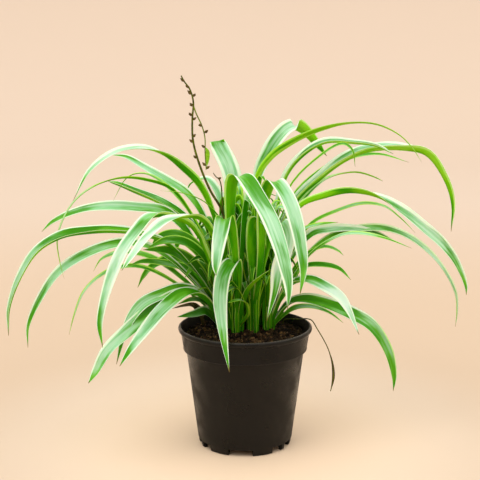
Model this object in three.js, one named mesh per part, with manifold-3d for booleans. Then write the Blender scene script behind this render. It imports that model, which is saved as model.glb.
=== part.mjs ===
// Potted spider plant: striped strap leaves in seven crowded crowns, growing in a black nursery pot.
// Millimetres, +Z up. The origin is on the pot's axis at the floor and -Y is the viewer's side.
import * as THREE from 'three';
import { mergeVertices } from 'three/addons/utils/BufferGeometryUtils.js';
import Module from 'manifold-3d';

const wasm = await Module();
wasm.setup();

// Pot
const POT_HEIGHT = 118;
const POT_SIDES = 36;
const LIP_RADIUS = 65;
const LIP_DEPTH = 5;
const LIP_STEPS = 3;
const COLLAR_TOP_RADIUS = 62.6;
const COLLAR_FOOT = 95.2;
const COLLAR_FOOT_RADIUS = 60;
const WALL_TOP_RADIUS = 57.2;
const WALL_FOOT = 8.2;
const WALL_FOOT_RADIUS = 46.4;
const WALL = 1.8;
const FLOOR = 2;
const FOOT_HEIGHT = 6.6;
const FOOT_OUTER = 44.4;
const FOOT_INNER = 41;
const FOOT_REPEATS = 3;
const FOOT_START = -5.8;
const FOOT_NOTCHES = [[-15.5, 15.5], [41.5, 57.5], [62.5, 78.5]];
const DRAIN_RADIUS = 4;
const DRAIN_CIRCLE = 31;
const DRAIN_COUNT = 6;

// Soil
const SOIL_TOP = 110;
const SOIL_BUMP = 1.2;
const FIT_GAP = 0.35;
const HOLE_GAP = 0.5;

// Leaves and crowns
const CROWN_RADIUS = 6.5;
const CROWN_SIDES = 8;
const CROWN_FOOT = 88;
const CROWN_TOP = 117;
const LEAF_ROOT = 107;
const ROOT_OUTERMOST = 3.3;
const ROOT_INNERMOST = -2.2;
const ROOT_SPREAD = 1.2;
const LOW_PEAK = 130;
const HIGH_PEAK = 280;
const DEPTH_REACH = 120;
const RING_DEPTH_SHARE = 0.4;
const RISE_SHARE = 0.25;
const SHOULDER_OUT = 0.12;
const SHOULDER_UP = 0.3;
const TURNED_BY = 0.3;
const BLADE_THICKNESS = 0.75;
const TIP_WIDTH = 1;
const ROOT_SHARE = 0.3;
const SWELLS_BY = 0.5;
const NARROWS_FROM = 0.4;
const TIP_FULLNESS = 2.6;
const TWISTS_FROM = 0.3;
const TWISTS_BY = 0.7;
const FOLD_AT_ROOT = 62;
const FOLD_AT_MIDDLE = 24;
const KEELED = 46;
const NEARLY_FLAT = 12;
const FOLD_FADES_BY = 0.6;
const FLAT_BELOW = 9;
const FOLDED_SPLITS = [false, true, false, false, true, false];
const FOLDED_CAP = [0, 4, 1, 0, 5, 4, 1, 3, 2, 1, 4, 3];
const FLAT_SPLITS = [false, false, true, false];
const FLAT_CAP = [0, 3, 1, 1, 3, 2];

// The leaves are listed as they look from the front: across and up in millimetres on the upright plane
// through the pot's axis, seen from an eye EYE_DISTANCE before it.
const EYE_ACROSS = -5;
const EYE_DISTANCE = 1100;
const EYE_HEIGHT = 420;

// Colours and finishes
const PLASTIC = { color: 0x26221f, roughness: 0.55, metalness: 0 };
const SOIL_MIX = { color: 0x2c211a, roughness: 0.97, metalness: 0 };
const LEAF = { color: 0x5f8f2e, roughness: 0.45, metalness: 0 };
const STALK = { color: 0x5a5a2a, roughness: 0.6, metalness: 0 };
const DRY = { color: 0x8a6a45, roughness: 0.85, metalness: 0 };

const UP = new THREE.Vector3(0, 0, 1);
const FULL_TURN = 2 * Math.PI;
const radians = THREE.MathUtils.degToRad;
const mix = THREE.MathUtils.lerp;
const ease = THREE.MathUtils.smoothstep;

// A small repeatable random number source, 0 to 1.
function seeded(seed) {
  let state = seed;
  return () => {
    state = (state * 1664525 + 1013904223) % 4294967296;
    return state / 4294967296;
  };
}

// A closed geometry as a solid that can be joined and cut.
function toSolid(geometry) {
  const bare = geometry.clone();
  bare.deleteAttribute('normal');
  bare.deleteAttribute('uv');
  const merged = mergeVertices(bare, 1e-4);
  const corners = merged.index.array;
  const kept = [];
  for (let i = 0; i < corners.length; i += 3) {
    const [a, b, c] = corners.slice(i, i + 3);
    if (a !== b && b !== c && c !== a) kept.push(a, b, c);
  }
  return new wasm.Manifold(new wasm.Mesh({
    numProp: 3,
    vertProperties: new Float32Array(merged.attributes.position.array),
    triVerts: new Uint32Array(kept),
  }));
}

// The main body of a join, with the small hollows that crossing blades close off filled.
function largest(solid) {
  return solid.decompose().reduce((kept, body) => (body.volume() > kept.volume() ? body : kept));
}

function toMesh(name, solid, look) {
  const { vertProperties, triVerts } = solid.getMesh();
  const geometry = new THREE.BufferGeometry();
  geometry.setAttribute('position', new THREE.BufferAttribute(vertProperties, 3));
  geometry.setIndex(new THREE.BufferAttribute(triVerts, 1));
  geometry.computeVertexNormals();
  const mesh = new THREE.Mesh(geometry, new THREE.MeshStandardMaterial(look));
  mesh.name = name;
  return mesh;
}

// A profile of [radius, height] corners turned round the Z axis.
function turned(profile, sides, centre = [0, 0]) {
  const corners = profile.map(([radius, height]) => new THREE.Vector2(radius, height));
  const geometry = new THREE.LatheGeometry(corners, sides);
  geometry.rotateX(Math.PI / 2);
  geometry.translate(centre[0], centre[1], 0);
  return geometry;
}

function upright(radius, foot, top, sides, centre) {
  return turned([[0, foot], [radius, foot], [radius, top], [0, top]], sides, centre);
}

// Pot

function innerRadius(height) {
  if (height > COLLAR_FOOT) {
    const up = (height - COLLAR_FOOT) / (POT_HEIGHT - LIP_DEPTH - COLLAR_FOOT);
    return mix(COLLAR_FOOT_RADIUS, COLLAR_TOP_RADIUS, up) - WALL;
  }
  const up = (height - WALL_FOOT) / (COLLAR_FOOT - WALL_FOOT);
  return mix(WALL_FOOT_RADIUS, WALL_TOP_RADIUS, up) - WALL;
}

function potProfile() {
  const lipFoot = POT_HEIGHT - LIP_DEPTH;
  const lip = [];
  for (let i = 0; i <= LIP_STEPS; i += 1) {
    const angle = mix(-70, 90, i / LIP_STEPS);
    lip.push([
      LIP_RADIUS - 1.8 + 1.8 * Math.cos(radians(angle)),
      POT_HEIGHT - 2.4 + 2.4 * Math.sin(radians(angle)),
    ]);
  }
  return [
    [0, FOOT_HEIGHT],
    [FOOT_INNER, FOOT_HEIGHT],
    [FOOT_INNER, 0],
    [FOOT_OUTER - 0.6, 0],
    [FOOT_OUTER + 0.6, 1.6],
    [WALL_FOOT_RADIUS - 0.3, FOOT_HEIGHT],
    [WALL_FOOT_RADIUS, WALL_FOOT],
    [WALL_TOP_RADIUS, COLLAR_FOOT - 1.4],
    [COLLAR_FOOT_RADIUS - 0.7, COLLAR_FOOT],
    [COLLAR_FOOT_RADIUS, COLLAR_FOOT + 1],
    [COLLAR_TOP_RADIUS, lipFoot - 0.5],
    ...lip,
    [LIP_RADIUS - 3.4, POT_HEIGHT - 0.6],
    [innerRadius(lipFoot), lipFoot - 1],
    [innerRadius(COLLAR_FOOT + 0.1), COLLAR_FOOT + 1],
    [innerRadius(COLLAR_FOOT - 2), COLLAR_FOOT - 2],
    [innerRadius(WALL_FOOT + 1), FOOT_HEIGHT + FLOOR],
    [0, FOOT_HEIGHT + FLOOR],
  ];
}

// A wedge under the pot's floor between two angles, measured from the viewer's side.
function footNotch(from, to) {
  const reach = LIP_RADIUS;
  const corner = (angle) => [reach * Math.sin(radians(angle)), -reach * Math.cos(radians(angle))];
  const outline = new THREE.Shape([
    new THREE.Vector2(0, 0),
    new THREE.Vector2(...corner(from)),
    new THREE.Vector2(...corner(to)),
  ]);
  const wedge = new THREE.ExtrudeGeometry(outline, { depth: FOOT_HEIGHT + 1, bevelEnabled: false });
  wedge.translate(0, 0, -1);
  return toSolid(wedge);
}

function makePot() {
  let pot = toSolid(turned(potProfile(), POT_SIDES));
  for (let repeat = 0; repeat < FOOT_REPEATS; repeat += 1) {
    const start = FOOT_START + (360 / FOOT_REPEATS) * repeat;
    for (const [from, to] of FOOT_NOTCHES) pot = pot.subtract(footNotch(start + from, start + to));
  }
  for (let i = 0; i < DRAIN_COUNT; i += 1) {
    const angle = (FULL_TURN * i) / DRAIN_COUNT;
    const centre = [DRAIN_CIRCLE * Math.cos(angle), DRAIN_CIRCLE * Math.sin(angle)];
    const hole = upright(DRAIN_RADIUS, FOOT_HEIGHT - 1, FOOT_HEIGHT + FLOOR + 1, 8, centre);
    pot = pot.subtract(toSolid(hole));
  }
  return toMesh('pot', pot, PLASTIC);
}

// Leaves

// The point at a depth behind the middle plane on the sight line through (across, up) of that plane.
function seen(across, up, depth) {
  const scale = (EYE_DISTANCE + depth) / EYE_DISTANCE;
  return new THREE.Vector3(
    EYE_ACROSS + (across - EYE_ACROSS) * scale,
    depth,
    EYE_HEIGHT + (up - EYE_HEIGHT) * scale,
  );
}

// Low leaves root at the crown's outer side and tall ones further in. Leaves that come forward root
// nearer the viewer, so that the leaves of one crown spread like a fan.
function rootPlace(crown, heading, peak, tipDepth) {
  const ring = mix(ROOT_OUTERMOST, ROOT_INNERMOST, ease(peak, LOW_PEAK, HIGH_PEAK));
  const side = THREE.MathUtils.clamp(tipDepth / DEPTH_REACH, -1, 1);
  return new THREE.Vector3(
    crown[0] + ring * Math.cos(heading),
    crown[1] + ring * Math.sin(heading) * RING_DEPTH_SHARE + side * ROOT_SPREAD,
    LEAF_ROOT,
  );
}

// The leaf's run from its root in the crown through its seen points. Its depth grows from the root's to
// the tip's as the leaf travels, mostly with its travel across.
function leafRun(crown, tipDepth, path) {
  const [rootAcross, rootDepth] = crown;
  const travel = [];
  let sum = 0;
  let last = [rootAcross, LEAF_ROOT];
  for (const point of path) {
    sum += Math.abs(point[0] - last[0]) + RISE_SHARE * Math.abs(point[1] - last[1]);
    travel.push(sum);
    last = point;
  }
  const places = path.map((point, i) => seen(...point, mix(rootDepth, tipDepth, travel[i] / sum)));
  const tip = places[places.length - 1];
  const heading = Math.atan2(tip.y - rootDepth, tip.x - rootAcross);
  const root = rootPlace(crown, heading, Math.max(...path.map(([, up]) => up)), tipDepth);
  const shoulder = root.clone().lerp(places[0], SHOULDER_OUT);
  shoulder.z = mix(root.z, places[0].z, SHOULDER_UP);
  return [root, shoulder, ...places];
}

function bladeWidth(along, widest) {
  const swelling = mix(ROOT_SHARE, 1, ease(along, 0, SWELLS_BY));
  const narrowing = 1 - Math.max(0, (along - NARROWS_FROM) / (1 - NARROWS_FROM)) ** TIP_FULLNESS;
  return Math.max(TIP_WIDTH, widest * swelling * narrowing);
}

// The corners of a blade's upper face across one place on its run. Narrow blades are flat and wide ones
// are folded along their keel, most of all at the root.
function bladeCorners(place, side, face, width, openFold, along) {
  const folded = width > FLAT_BELOW;
  const half = bladeWidth(along, width) / 2;
  const fold = folded ? radians(mix(FOLD_AT_ROOT, openFold, ease(along, 0, FOLD_FADES_BY))) : 0;
  const keel = place.clone().addScaledVector(face, -half * Math.sin(fold) * 0.5);
  const edge = (sign) => keel.clone()
    .addScaledVector(side, sign * half * Math.cos(fold))
    .addScaledVector(face, half * Math.sin(fold));
  const upper = folded ? [edge(1), keel, edge(-1)] : [edge(1), edge(-1)];
  const back = face.clone().multiplyScalar(-BLADE_THICKNESS / Math.cos(fold));
  return [...upper, ...upper.map((corner) => corner.clone().add(back)).reverse()];
}

// A thin blade along a run of points. Turn tips its upper face towards the viewer. A pair of turns twists
// the blade between its rise and its fall, over the given shares of its run or else over its middle. The
// open fold is the one past the root.
function blade(points, width, turn, openFold = FOLD_AT_MIDDLE) {
  const folded = width > FLAT_BELOW;
  const curve = new THREE.CatmullRomCurve3(points);
  const steps = points.length - 1;
  const heading = points[steps].clone().sub(points[0]).setZ(0).normalize();
  const level = new THREE.Vector3().crossVectors(UP, heading);
  const turns = Array.isArray(turn) ? turn : [turn, turn];
  const [riseTurn, fallTurn, twistsFrom = TWISTS_FROM, twistsBy = TWISTS_BY] = turns;
  const splits = folded ? FOLDED_SPLITS : FLAT_SPLITS;
  const corners = splits.length;
  const vertices = [];
  const faces = [];
  for (let i = 0; i <= steps; i += 1) {
    const along = i / steps;
    const run = curve.getTangent(along);
    const side = level.clone().addScaledVector(run, -level.dot(run)).normalize();
    const face = new THREE.Vector3().crossVectors(run, side).normalize();
    const tipped = mix(riseTurn, fallTurn, ease(along, twistsFrom, twistsBy)) * ease(along, 0, TURNED_BY);
    const roll = radians(heading.x > 0 ? tipped : -tipped);
    side.applyAxisAngle(run, roll);
    face.applyAxisAngle(run, roll);
    for (const corner of bladeCorners(curve.getPoint(along), side, face, width, openFold, along)) {
      vertices.push(...corner);
    }
    if (i > 0) faces.push(...bladeStrips(corners * (i - 1), corners * i, splits));
  }
  const cap = folded ? FOLDED_CAP : FLAT_CAP;
  faces.push(...cap, ...cap.map((corner) => corners * steps + corner).reverse());
  const geometry = new THREE.BufferGeometry();
  geometry.setAttribute('position', new THREE.Float32BufferAttribute(vertices, 3));
  geometry.setIndex(faces);
  return geometry;
}

// The strips between one section and the next. Each is split in two triangles one way or the other, so
// that the upper and the lower face of a blade are split alike.
function bladeStrips(from, to, splits) {
  const faces = [];
  splits.forEach((split, i) => {
    const next = (i + 1) % splits.length;
    const [a, b, c, d] = [from + i, from + next, to + next, to + i];
    if (split) faces.push(a, b, d, b, c, d);
    else faces.push(a, b, c, a, c, d);
  });
  return faces;
}

// The crowns' places in the soil and how many young leaves stand in each.
const rosettes = {
  left: { crown: [-21, 13], young: 2, leaves: [] },
  front: { crown: [-7, 7], young: 5, leaves: [] },
  front_right: { crown: [8, 7], young: 5, leaves: [] },
  right: { crown: [23, 13], young: 3, leaves: [] },
  back_left: { crown: [-18, 31], young: 1, leaves: [] },
  back: { crown: [2, 40], young: 2, leaves: [] },
  back_right: { crown: [18, 31], young: 2, leaves: [] },
};

// One leaf: its tip's depth, its greatest width, the turn of its face and the points it passes.
function leaf(rosette, tipDepth, width, turn, ...path) {
  const { crown, leaves } = rosettes[rosette];
  leaves.push({ run: leafRun(crown, tipDepth, path), width, turn, openFold: FOLD_AT_MIDDLE });
}

// A leaf with an open fold of its own: sharply keeled or nearly flat.
function foldedLeaf(openFold, rosette, ...shape) {
  leaf(rosette, ...shape);
  rosettes[rosette].leaves.at(-1).openFold = openFold;
}

foldedLeaf(KEELED, 'left', -65, 16, 22, [-72, 198], [-100, 209], [-123, 212], [-151, 211], [-177, 206],
  [-200, 192], [-217, 167], [-229.5, 134], [-230.5, 107]);
leaf('left', -20, 13, 45, [-66, 178], [-95, 197], [-118, 199.5], [-148, 191], [-179, 172], [-199, 144],
  [-211, 117], [-212, 95]);
leaf('left', 60, 7.5, 35, [-80, 180], [-105, 190], [-123, 190], [-139, 183], [-146.5, 171]);
leaf('left', 30, 6, 35, [-75, 165], [-105, 177], [-132, 172], [-155, 153], [-166, 128], [-171.5, 108]);
leaf('left', -112, 17, [-12, 12], [-50, 215], [-74, 226], [-89, 226], [-103, 212], [-119, 189], [-133, 154],
  [-141, 120], [-139, 95]);
leaf('left', -130, 14, [-12, 12], [-30, 205], [-44, 224], [-60, 225.5], [-77, 221], [-93, 207], [-111, 184],
  [-119, 172]);
leaf('left', -30, 13, 50, [-36, 180], [-55, 199], [-75, 202], [-93, 195]);
leaf('left', 20, 15.5, 50, [-44, 190], [-64, 206], [-81, 205], [-91, 194]);
leaf('left', -20, 17, 50, [-40, 165], [-56, 183], [-73, 192], [-98, 192.6]);
leaf('left', 10, 9, 50, [-40, 158], [-56, 174], [-73, 179], [-98, 181.5], [-112, 177]);
leaf('left', 40, 13, 50, [-50, 170], [-68, 183], [-82, 181], [-96, 170], [-104, 155]);
leaf('left', -70, 18, 30, [-45, 150], [-65, 148], [-92, 131], [-114, 112], [-134, 93], [-147, 70],
  [-154, 58.5]);
leaf('left', -45, 15, 35, [-40, 148], [-60, 155], [-79, 149], [-98, 140], [-110, 126], [-118, 108],
  [-126, 78]);
leaf('left', -110, 17, 15, [-42, 148], [-58, 150], [-79, 134], [-96, 114], [-111, 94], [-123, 76]);
leaf('left', -20, 8, 35, [-38, 140], [-50, 144], [-65, 139]);
leaf('left', 5, 11, 50, [-38, 132], [-50, 129], [-66, 126]);

leaf('front', -90, 17, 0, [-10, 190], [-16, 221], [-20, 224], [-23, 210], [-26, 193], [-28, 176], [-28, 167]);
leaf('front', -90, 17, 0, [-6, 165], [-9, 181], [-14, 179], [-21, 167], [-24, 146], [-23, 125], [-20, 100],
  [-15.4, 70]);
foldedLeaf(NEARLY_FLAT, 'front', -130, 18, 0, [-10, 170], [-14, 225], [-11, 262], [-3, 264], [9, 248],
  [24, 221], [34, 193], [40, 168], [42, 151], [41, 134]);
leaf('front', -30, 9, 0, [-2, 140], [4, 155], [15, 166], [27, 175]);
leaf('front', -40, 5, 30, [3, 130], [1, 140], [-5, 143], [-12, 142], [-17, 140]);
leaf('front', -25, 4, 0, [-20, 215], [-38, 239], [-60, 248], [-81, 250]);
leaf('front', -5, 10, 0, [-9, 165], [-9, 200], [-5, 222], [2, 230], [8, 226]);

foldedLeaf(NEARLY_FLAT, 'front_right', -110, 17, 0, [15, 180], [18, 240], [27, 260], [37, 249], [47, 225],
  [54, 191], [56, 172], [53, 148]);
foldedLeaf(NEARLY_FLAT, 'front_right', -55, 18, 0, [20, 190], [27, 215], [33, 219], [39, 206], [37, 190],
  [31, 172], [28, 151], [21, 121.6]);
leaf('front_right', -35, 14, 0, [8, 170], [7, 205], [9, 222], [14, 224], [20, 214]);
leaf('front_right', -30, 7, 0, [12, 200], [12, 255], [15, 264], [20, 258]);

leaf('right', 0, 15, [-55, 60], [40, 200], [51, 234], [76, 245], [100, 249.8], [125, 245.6], [149, 232],
  [172, 214], [190, 198], [203, 181], [213, 158], [214, 148]);
leaf('right', 30, 5, 30, [50, 200], [64, 219], [88, 231], [112, 238], [133, 235], [149, 223], [163, 209]);
leaf('right', -10, 7, 30, [46, 198], [56, 213], [72, 218], [89, 219.5]);
leaf('right', 45, 12, 40, [48, 190], [64, 209], [80, 213], [105, 213.5], [126, 209], [146, 200]);
leaf('right', 65, 10, 45, [50, 175], [70, 198], [90, 209], [114, 214], [139, 212.6], [164, 201],
  [188, 178], [203.5, 150], [205.7, 130], [204.4, 116]);
leaf('right', -50, 8, 20, [46, 160], [59.5, 185], [76, 199], [93, 207.5], [110, 209], [134.5, 204],
  [160, 194]);
leaf('right', 10, 5, 30, [55, 185], [76, 196], [89, 192], [94.5, 187]);
leaf('right', -20, 7.5, 35, [44, 160], [56, 176], [76, 178], [91, 174], [102, 163]);
leaf('right', -50, 16, 20, [42, 158], [58, 163.5], [76.5, 156], [92, 145], [101, 131], [111, 108]);
leaf('right', -20, 17, 40, [42, 140], [56, 144], [77, 140], [102, 130], [123, 117], [139, 93], [146, 66],
  [145.7, 50.5]);
leaf('right', 15, 7, 30, [41, 131], [50, 136], [64, 136.6], [81, 131], [95.5, 120]);

leaf('back_left', -60, 13, [-45, 35], [-30, 225], [-43, 255], [-59, 271.5], [-80, 287], [-100, 291.5],
  [-124, 287], [-148, 269], [-164, 240]);
leaf('back_left', -20, 6, [-45, 0], [-45, 215], [-69, 251], [-92, 260], [-117, 262.4], [-142, 255.4],
  [-165, 237.6], [-180, 205], [-178, 178], [-174.5, 164]);
leaf('back_left', 60, 13, 40, [-38, 220], [-55, 247], [-76, 261], [-96, 273], [-113, 282.5],
  [-128, 284.5]);
leaf('back_left', 30, 7, [30, 0], [-50, 225], [-80, 259], [-97, 267], [-112, 263], [-126, 240]);
foldedLeaf(KEELED, 'back_left', 90, 15, 8, [-40, 200], [-60, 226], [-82, 240], [-105, 250], [-122, 257],
  [-130, 259]);
leaf('back_left', 40, 15, 40, [-45, 190], [-60, 215], [-78, 230], [-105, 234], [-133, 235], [-159, 231],
  [-184, 220], [-195, 210]);
leaf('back_left', 60, 12, 15, [-18, 190], [-22, 235], [-27, 250], [-37, 262], [-51, 258], [-56, 250]);

foldedLeaf(NEARLY_FLAT, 'back', 110, 21, 0, [-4, 190], [-10, 240], [-13.5, 269], [-24.5, 292], [-27.5, 297],
  [-27, 290], [-23, 250]);
leaf('back', 90, 19, [35, -60, 0.62, 0.74], [5, 215], [12, 263], [20, 283], [31, 301], [40, 310], [48, 312.5],
  [57, 307], [69, 293], [77, 283]);
leaf('back', -20, 8, [-60, -14], [6, 215], [11, 262], [23.5, 282], [41, 295], [67, 307], [99, 314.4],
  [124, 313], [147, 302], [160, 288], [167, 277]);

foldedLeaf(KEELED, 'back_right', 20, 13, 20, [28, 225], [38, 265], [54, 285], [75, 297], [103, 296.4],
  [125, 293], [140, 285]);
foldedLeaf(KEELED, 'back_right', 40, 19, [14, -45, 0.55, 0.75], [34, 215], [49, 243], [67, 260.5], [92, 280],
  [116, 290], [149, 291.8], [172, 286], [191, 260], [198, 236], [197, 210]);
leaf('back_right', 50, 8.5, [30, -10], [45, 225], [62, 250], [79.5, 263], [104, 268], [123, 263], [131, 259]);
leaf('back_right', 70, 7, 30, [40, 235], [70, 268], [100, 282], [127, 285], [155, 277]);
leaf('back_right', 0, 5, 30, [40, 250], [70, 283], [92, 295], [101, 289], [104, 273]);

// The leaves of the back, which arch away from the viewer.
const BACK_FANS = {
  back_left: [112, 124, 136],
  back: [86, 98, 110],
  back_right: [64, 78],
};
const BACK_NEAREST = 105;
const BACK_FURTHEST = 131;
const random = seeded(8);

function backLeaf(rosette, angle) {
  const { crown, leaves } = rosettes[rosette];
  const reach = (mix(BACK_NEAREST, BACK_FURTHEST, random()) - crown[1]) / Math.sin(radians(angle));
  const crest = mix(170, 225, random());
  const droop = mix(15, 70, random());
  const out = (share, height) => new THREE.Vector3(
    crown[0] + reach * share * Math.cos(radians(angle)),
    crown[1] + reach * share * Math.sin(radians(angle)),
    height,
  );
  const run = [
    rootPlace(crown, radians(angle), crest, DEPTH_REACH),
    out(0.12, mix(LEAF_ROOT, crest, 0.45)),
    out(0.34, mix(LEAF_ROOT, crest, 0.88)),
    out(0.58, crest),
    out(0.82, crest - droop * 0.4),
    out(1, crest - droop),
  ];
  leaves.push({ run, width: mix(9, 14, random()), turn: 0 });
}

for (const [rosette, angles] of Object.entries(BACK_FANS)) {
  for (const angle of angles) backLeaf(rosette, angle);
}

const YOUNG_RING = 3.8;
const YOUNG_LEAN = [5, 7.2];

// A young leaf that stands at the edge of its crown, leaning out a little.
function youngLeaf({ crown, leaves }, angle) {
  const rise = mix(50, 115, random());
  const lean = mix(...YOUNG_LEAN, random());
  const out = (share, height) => new THREE.Vector3(
    crown[0] + lean * share * Math.cos(angle),
    crown[1] + lean * share * Math.sin(angle),
    height,
  );
  const run = [
    out(YOUNG_RING / lean, LEAF_ROOT),
    out(0.6, LEAF_ROOT + rise * 0.35),
    out(0.75, LEAF_ROOT + rise * 0.7),
    out(1, LEAF_ROOT + rise),
  ];
  leaves.push({ run, width: mix(6.5, FLAT_BELOW, random()), turn: 0 });
}

for (const rosette of Object.values(rosettes)) {
  for (let i = 0; i < rosette.young; i += 1) {
    youngLeaf(rosette, (FULL_TURN * (i + random() * 0.5)) / rosette.young);
  }
}

function makeRosette(name, { crown, leaves }) {
  const profile = [
    [0, CROWN_FOOT],
    [CROWN_RADIUS * 0.7, CROWN_FOOT + 1],
    [CROWN_RADIUS, CROWN_FOOT + 8],
    [CROWN_RADIUS, LEAF_ROOT],
    [CROWN_RADIUS * 0.7, CROWN_TOP - 3],
    [0, CROWN_TOP],
  ];
  let solid = toSolid(turned(profile, CROWN_SIDES, crown));
  for (const { run, width, turn, openFold } of leaves) {
    solid = solid.add(toSolid(blade(run, width, turn, openFold)));
  }
  return toMesh(`rosette_${name}`, largest(solid), LEAF);
}

// Stalks and dry leaves

// A round stem that narrows along its run.
function stem(points, startRadius, endRadius, steps, sides) {
  const curve = new THREE.CatmullRomCurve3(points);
  const { normals, binormals } = curve.computeFrenetFrames(steps);
  const vertices = [];
  const faces = [];
  for (let i = 0; i <= steps; i += 1) {
    const place = curve.getPointAt(i / steps);
    const radius = mix(startRadius, endRadius, i / steps);
    for (let j = 0; j < sides; j += 1) {
      const angle = (FULL_TURN * j) / sides;
      vertices.push(...place.clone()
        .addScaledVector(normals[i], radius * Math.cos(angle))
        .addScaledVector(binormals[i], radius * Math.sin(angle)));
      const next = (j + 1) % sides;
      if (i > 0) {
        const [a, b] = [(i - 1) * sides + j, (i - 1) * sides + next];
        faces.push(a, b, b + sides, a, b + sides, a + sides);
      }
    }
  }
  for (let j = 2; j < sides; j += 1) {
    faces.push(0, j, j - 1, steps * sides, steps * sides + j - 1, steps * sides + j);
  }
  const geometry = new THREE.BufferGeometry();
  geometry.setAttribute('position', new THREE.Float32BufferAttribute(vertices, 3));
  geometry.setIndex(faces);
  return geometry;
}

const STALK_ROOT = [-3, 24];
const STALK_DEPTH = 26;
const STALK_RADIUS = 1.4;
const STALK_FOOT = 98;
const STALK_PATH = [[-13, 180], [-22, 230], [-33.5, 250.6], [-44, 277], [-49.3, 298], [-49.8, 318],
  [-48.7, 334], [-52, 346], [-57, 353], [-60, 358.5]];
const BRANCH_PATH = [[-48.8, 331], [-46, 323], [-40.6, 311], [-38, 300], [-38, 287], [-37, 270]];
// Buds by the place on the stalk where they sit and the side that they lean to.
const BUDS = [[-45.6, 281, -1], [-49.2, 296, -1], [-49.8, 321, -1], [-48.8, 330, -1], [-50.4, 341, -1],
  [-49.7, 301, 1], [-49.7, 317, 1], [-49.6, 339, 1], [-52.4, 347, -1], [-57, 353, -1],
  [-38.3, 305, 1], [-38, 291, -1], [-40.6, 311, -1], [-37.4, 274, -1], [-37, 271, 1]];
const BRACT_WIDTH = 4.5;
const BUD_SIZE = [1.9, 1.9, 3.4];
const BUD_LEAN = 40;
const BUD_OFFSET = 2.2;

// The foot of a stalk, which stands upright in its hole in the soil.
function rooted([across, depth]) {
  const foot = new THREE.Vector3(across, depth, STALK_FOOT);
  return [foot, foot.clone().setZ(SOIL_TOP + 4)];
}

function placesAt(path, depth) {
  return path.map((point) => seen(...point, depth));
}

function bud([across, up, side]) {
  const geometry = new THREE.OctahedronGeometry(1);
  geometry.scale(...BUD_SIZE);
  geometry.translate(0, 0, BUD_OFFSET);
  geometry.rotateY(radians(side * BUD_LEAN));
  geometry.translate(...seen(across, up, STALK_DEPTH));
  return geometry;
}

function makeFlowerStalk() {
  const places = [...rooted(STALK_ROOT), ...placesAt(STALK_PATH, STALK_DEPTH)];
  let solid = toSolid(stem(places, STALK_RADIUS, 0.7, 15, 5));
  solid = solid.add(toSolid(stem(placesAt(BRANCH_PATH, STALK_DEPTH), 0.8, 0.6, 6, 5)));
  const bract = placesAt([[-38, 292], [-36, 288], [-35.6, 281], [-36.4, 273]], STALK_DEPTH);
  solid = solid.add(toSolid(blade(bract, BRACT_WIDTH, 0)));
  for (const place of BUDS) solid = solid.add(toSolid(bud(place)));
  return toMesh('flower_stalk', solid, STALK);
}

const SHORT_STALK_ROOT = [-9, 22];
const SHORT_STALK_DEPTH = 18;
const SHORT_STALK_RADIUS = 1;
const KNOT_RADIUS = 1.7;
const SHORT_STALK_PATH = [[-15, 180], [-21.6, 237], [-23, 255.5], [-24.6, 260.5], [-28, 263.6], [-30.4, 267]];

function makeShortStalk() {
  const places = placesAt(SHORT_STALK_PATH, SHORT_STALK_DEPTH);
  let solid = toSolid(stem([...rooted(SHORT_STALK_ROOT), ...places], SHORT_STALK_RADIUS, 0.6, 10, 5));
  const knot = new THREE.IcosahedronGeometry(KNOT_RADIUS);
  knot.translate(...places[3]);
  solid = solid.add(toSolid(knot));
  return toMesh('short_stalk', solid, DRY);
}

const DRY_RIGHT = [[39, 38, 100], [39, 38, 112.5], [47, 33, 115], [55, 22, 118], [61, 12, 121],
  [65.5, 5, 120.8], [70, 2, 114], [76, 1, 104], [81, 0, 94], [85, 0, 81], [86.5, -1, 65], [84, -1, 51]];
const DRY_LEFT = [[-42, 26, 100], [-42, 26, 114], [-46, 28, 126], [-52, 28, 131], [-62, 28, 130],
  [-73, 28, 127]];
const DRY_RIGHT_WIDTH = 2.4;
const DRY_LEFT_WIDTH = 7;
const DRY_TURN = 20;
const DRY_HOLE = 2.2;

function makeDryLeaf(name, places, width) {
  const run = places.map((place) => new THREE.Vector3(...place));
  return toMesh(name, toSolid(blade(run, width, DRY_TURN)), DRY);
}

// Soil

function soilBump(x, y) {
  return SOIL_BUMP * (Math.sin(x * 0.31 + 1.1) * Math.cos(y * 0.27) + 0.6 * Math.sin(x * 0.12 - y * 0.45));
}

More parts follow.
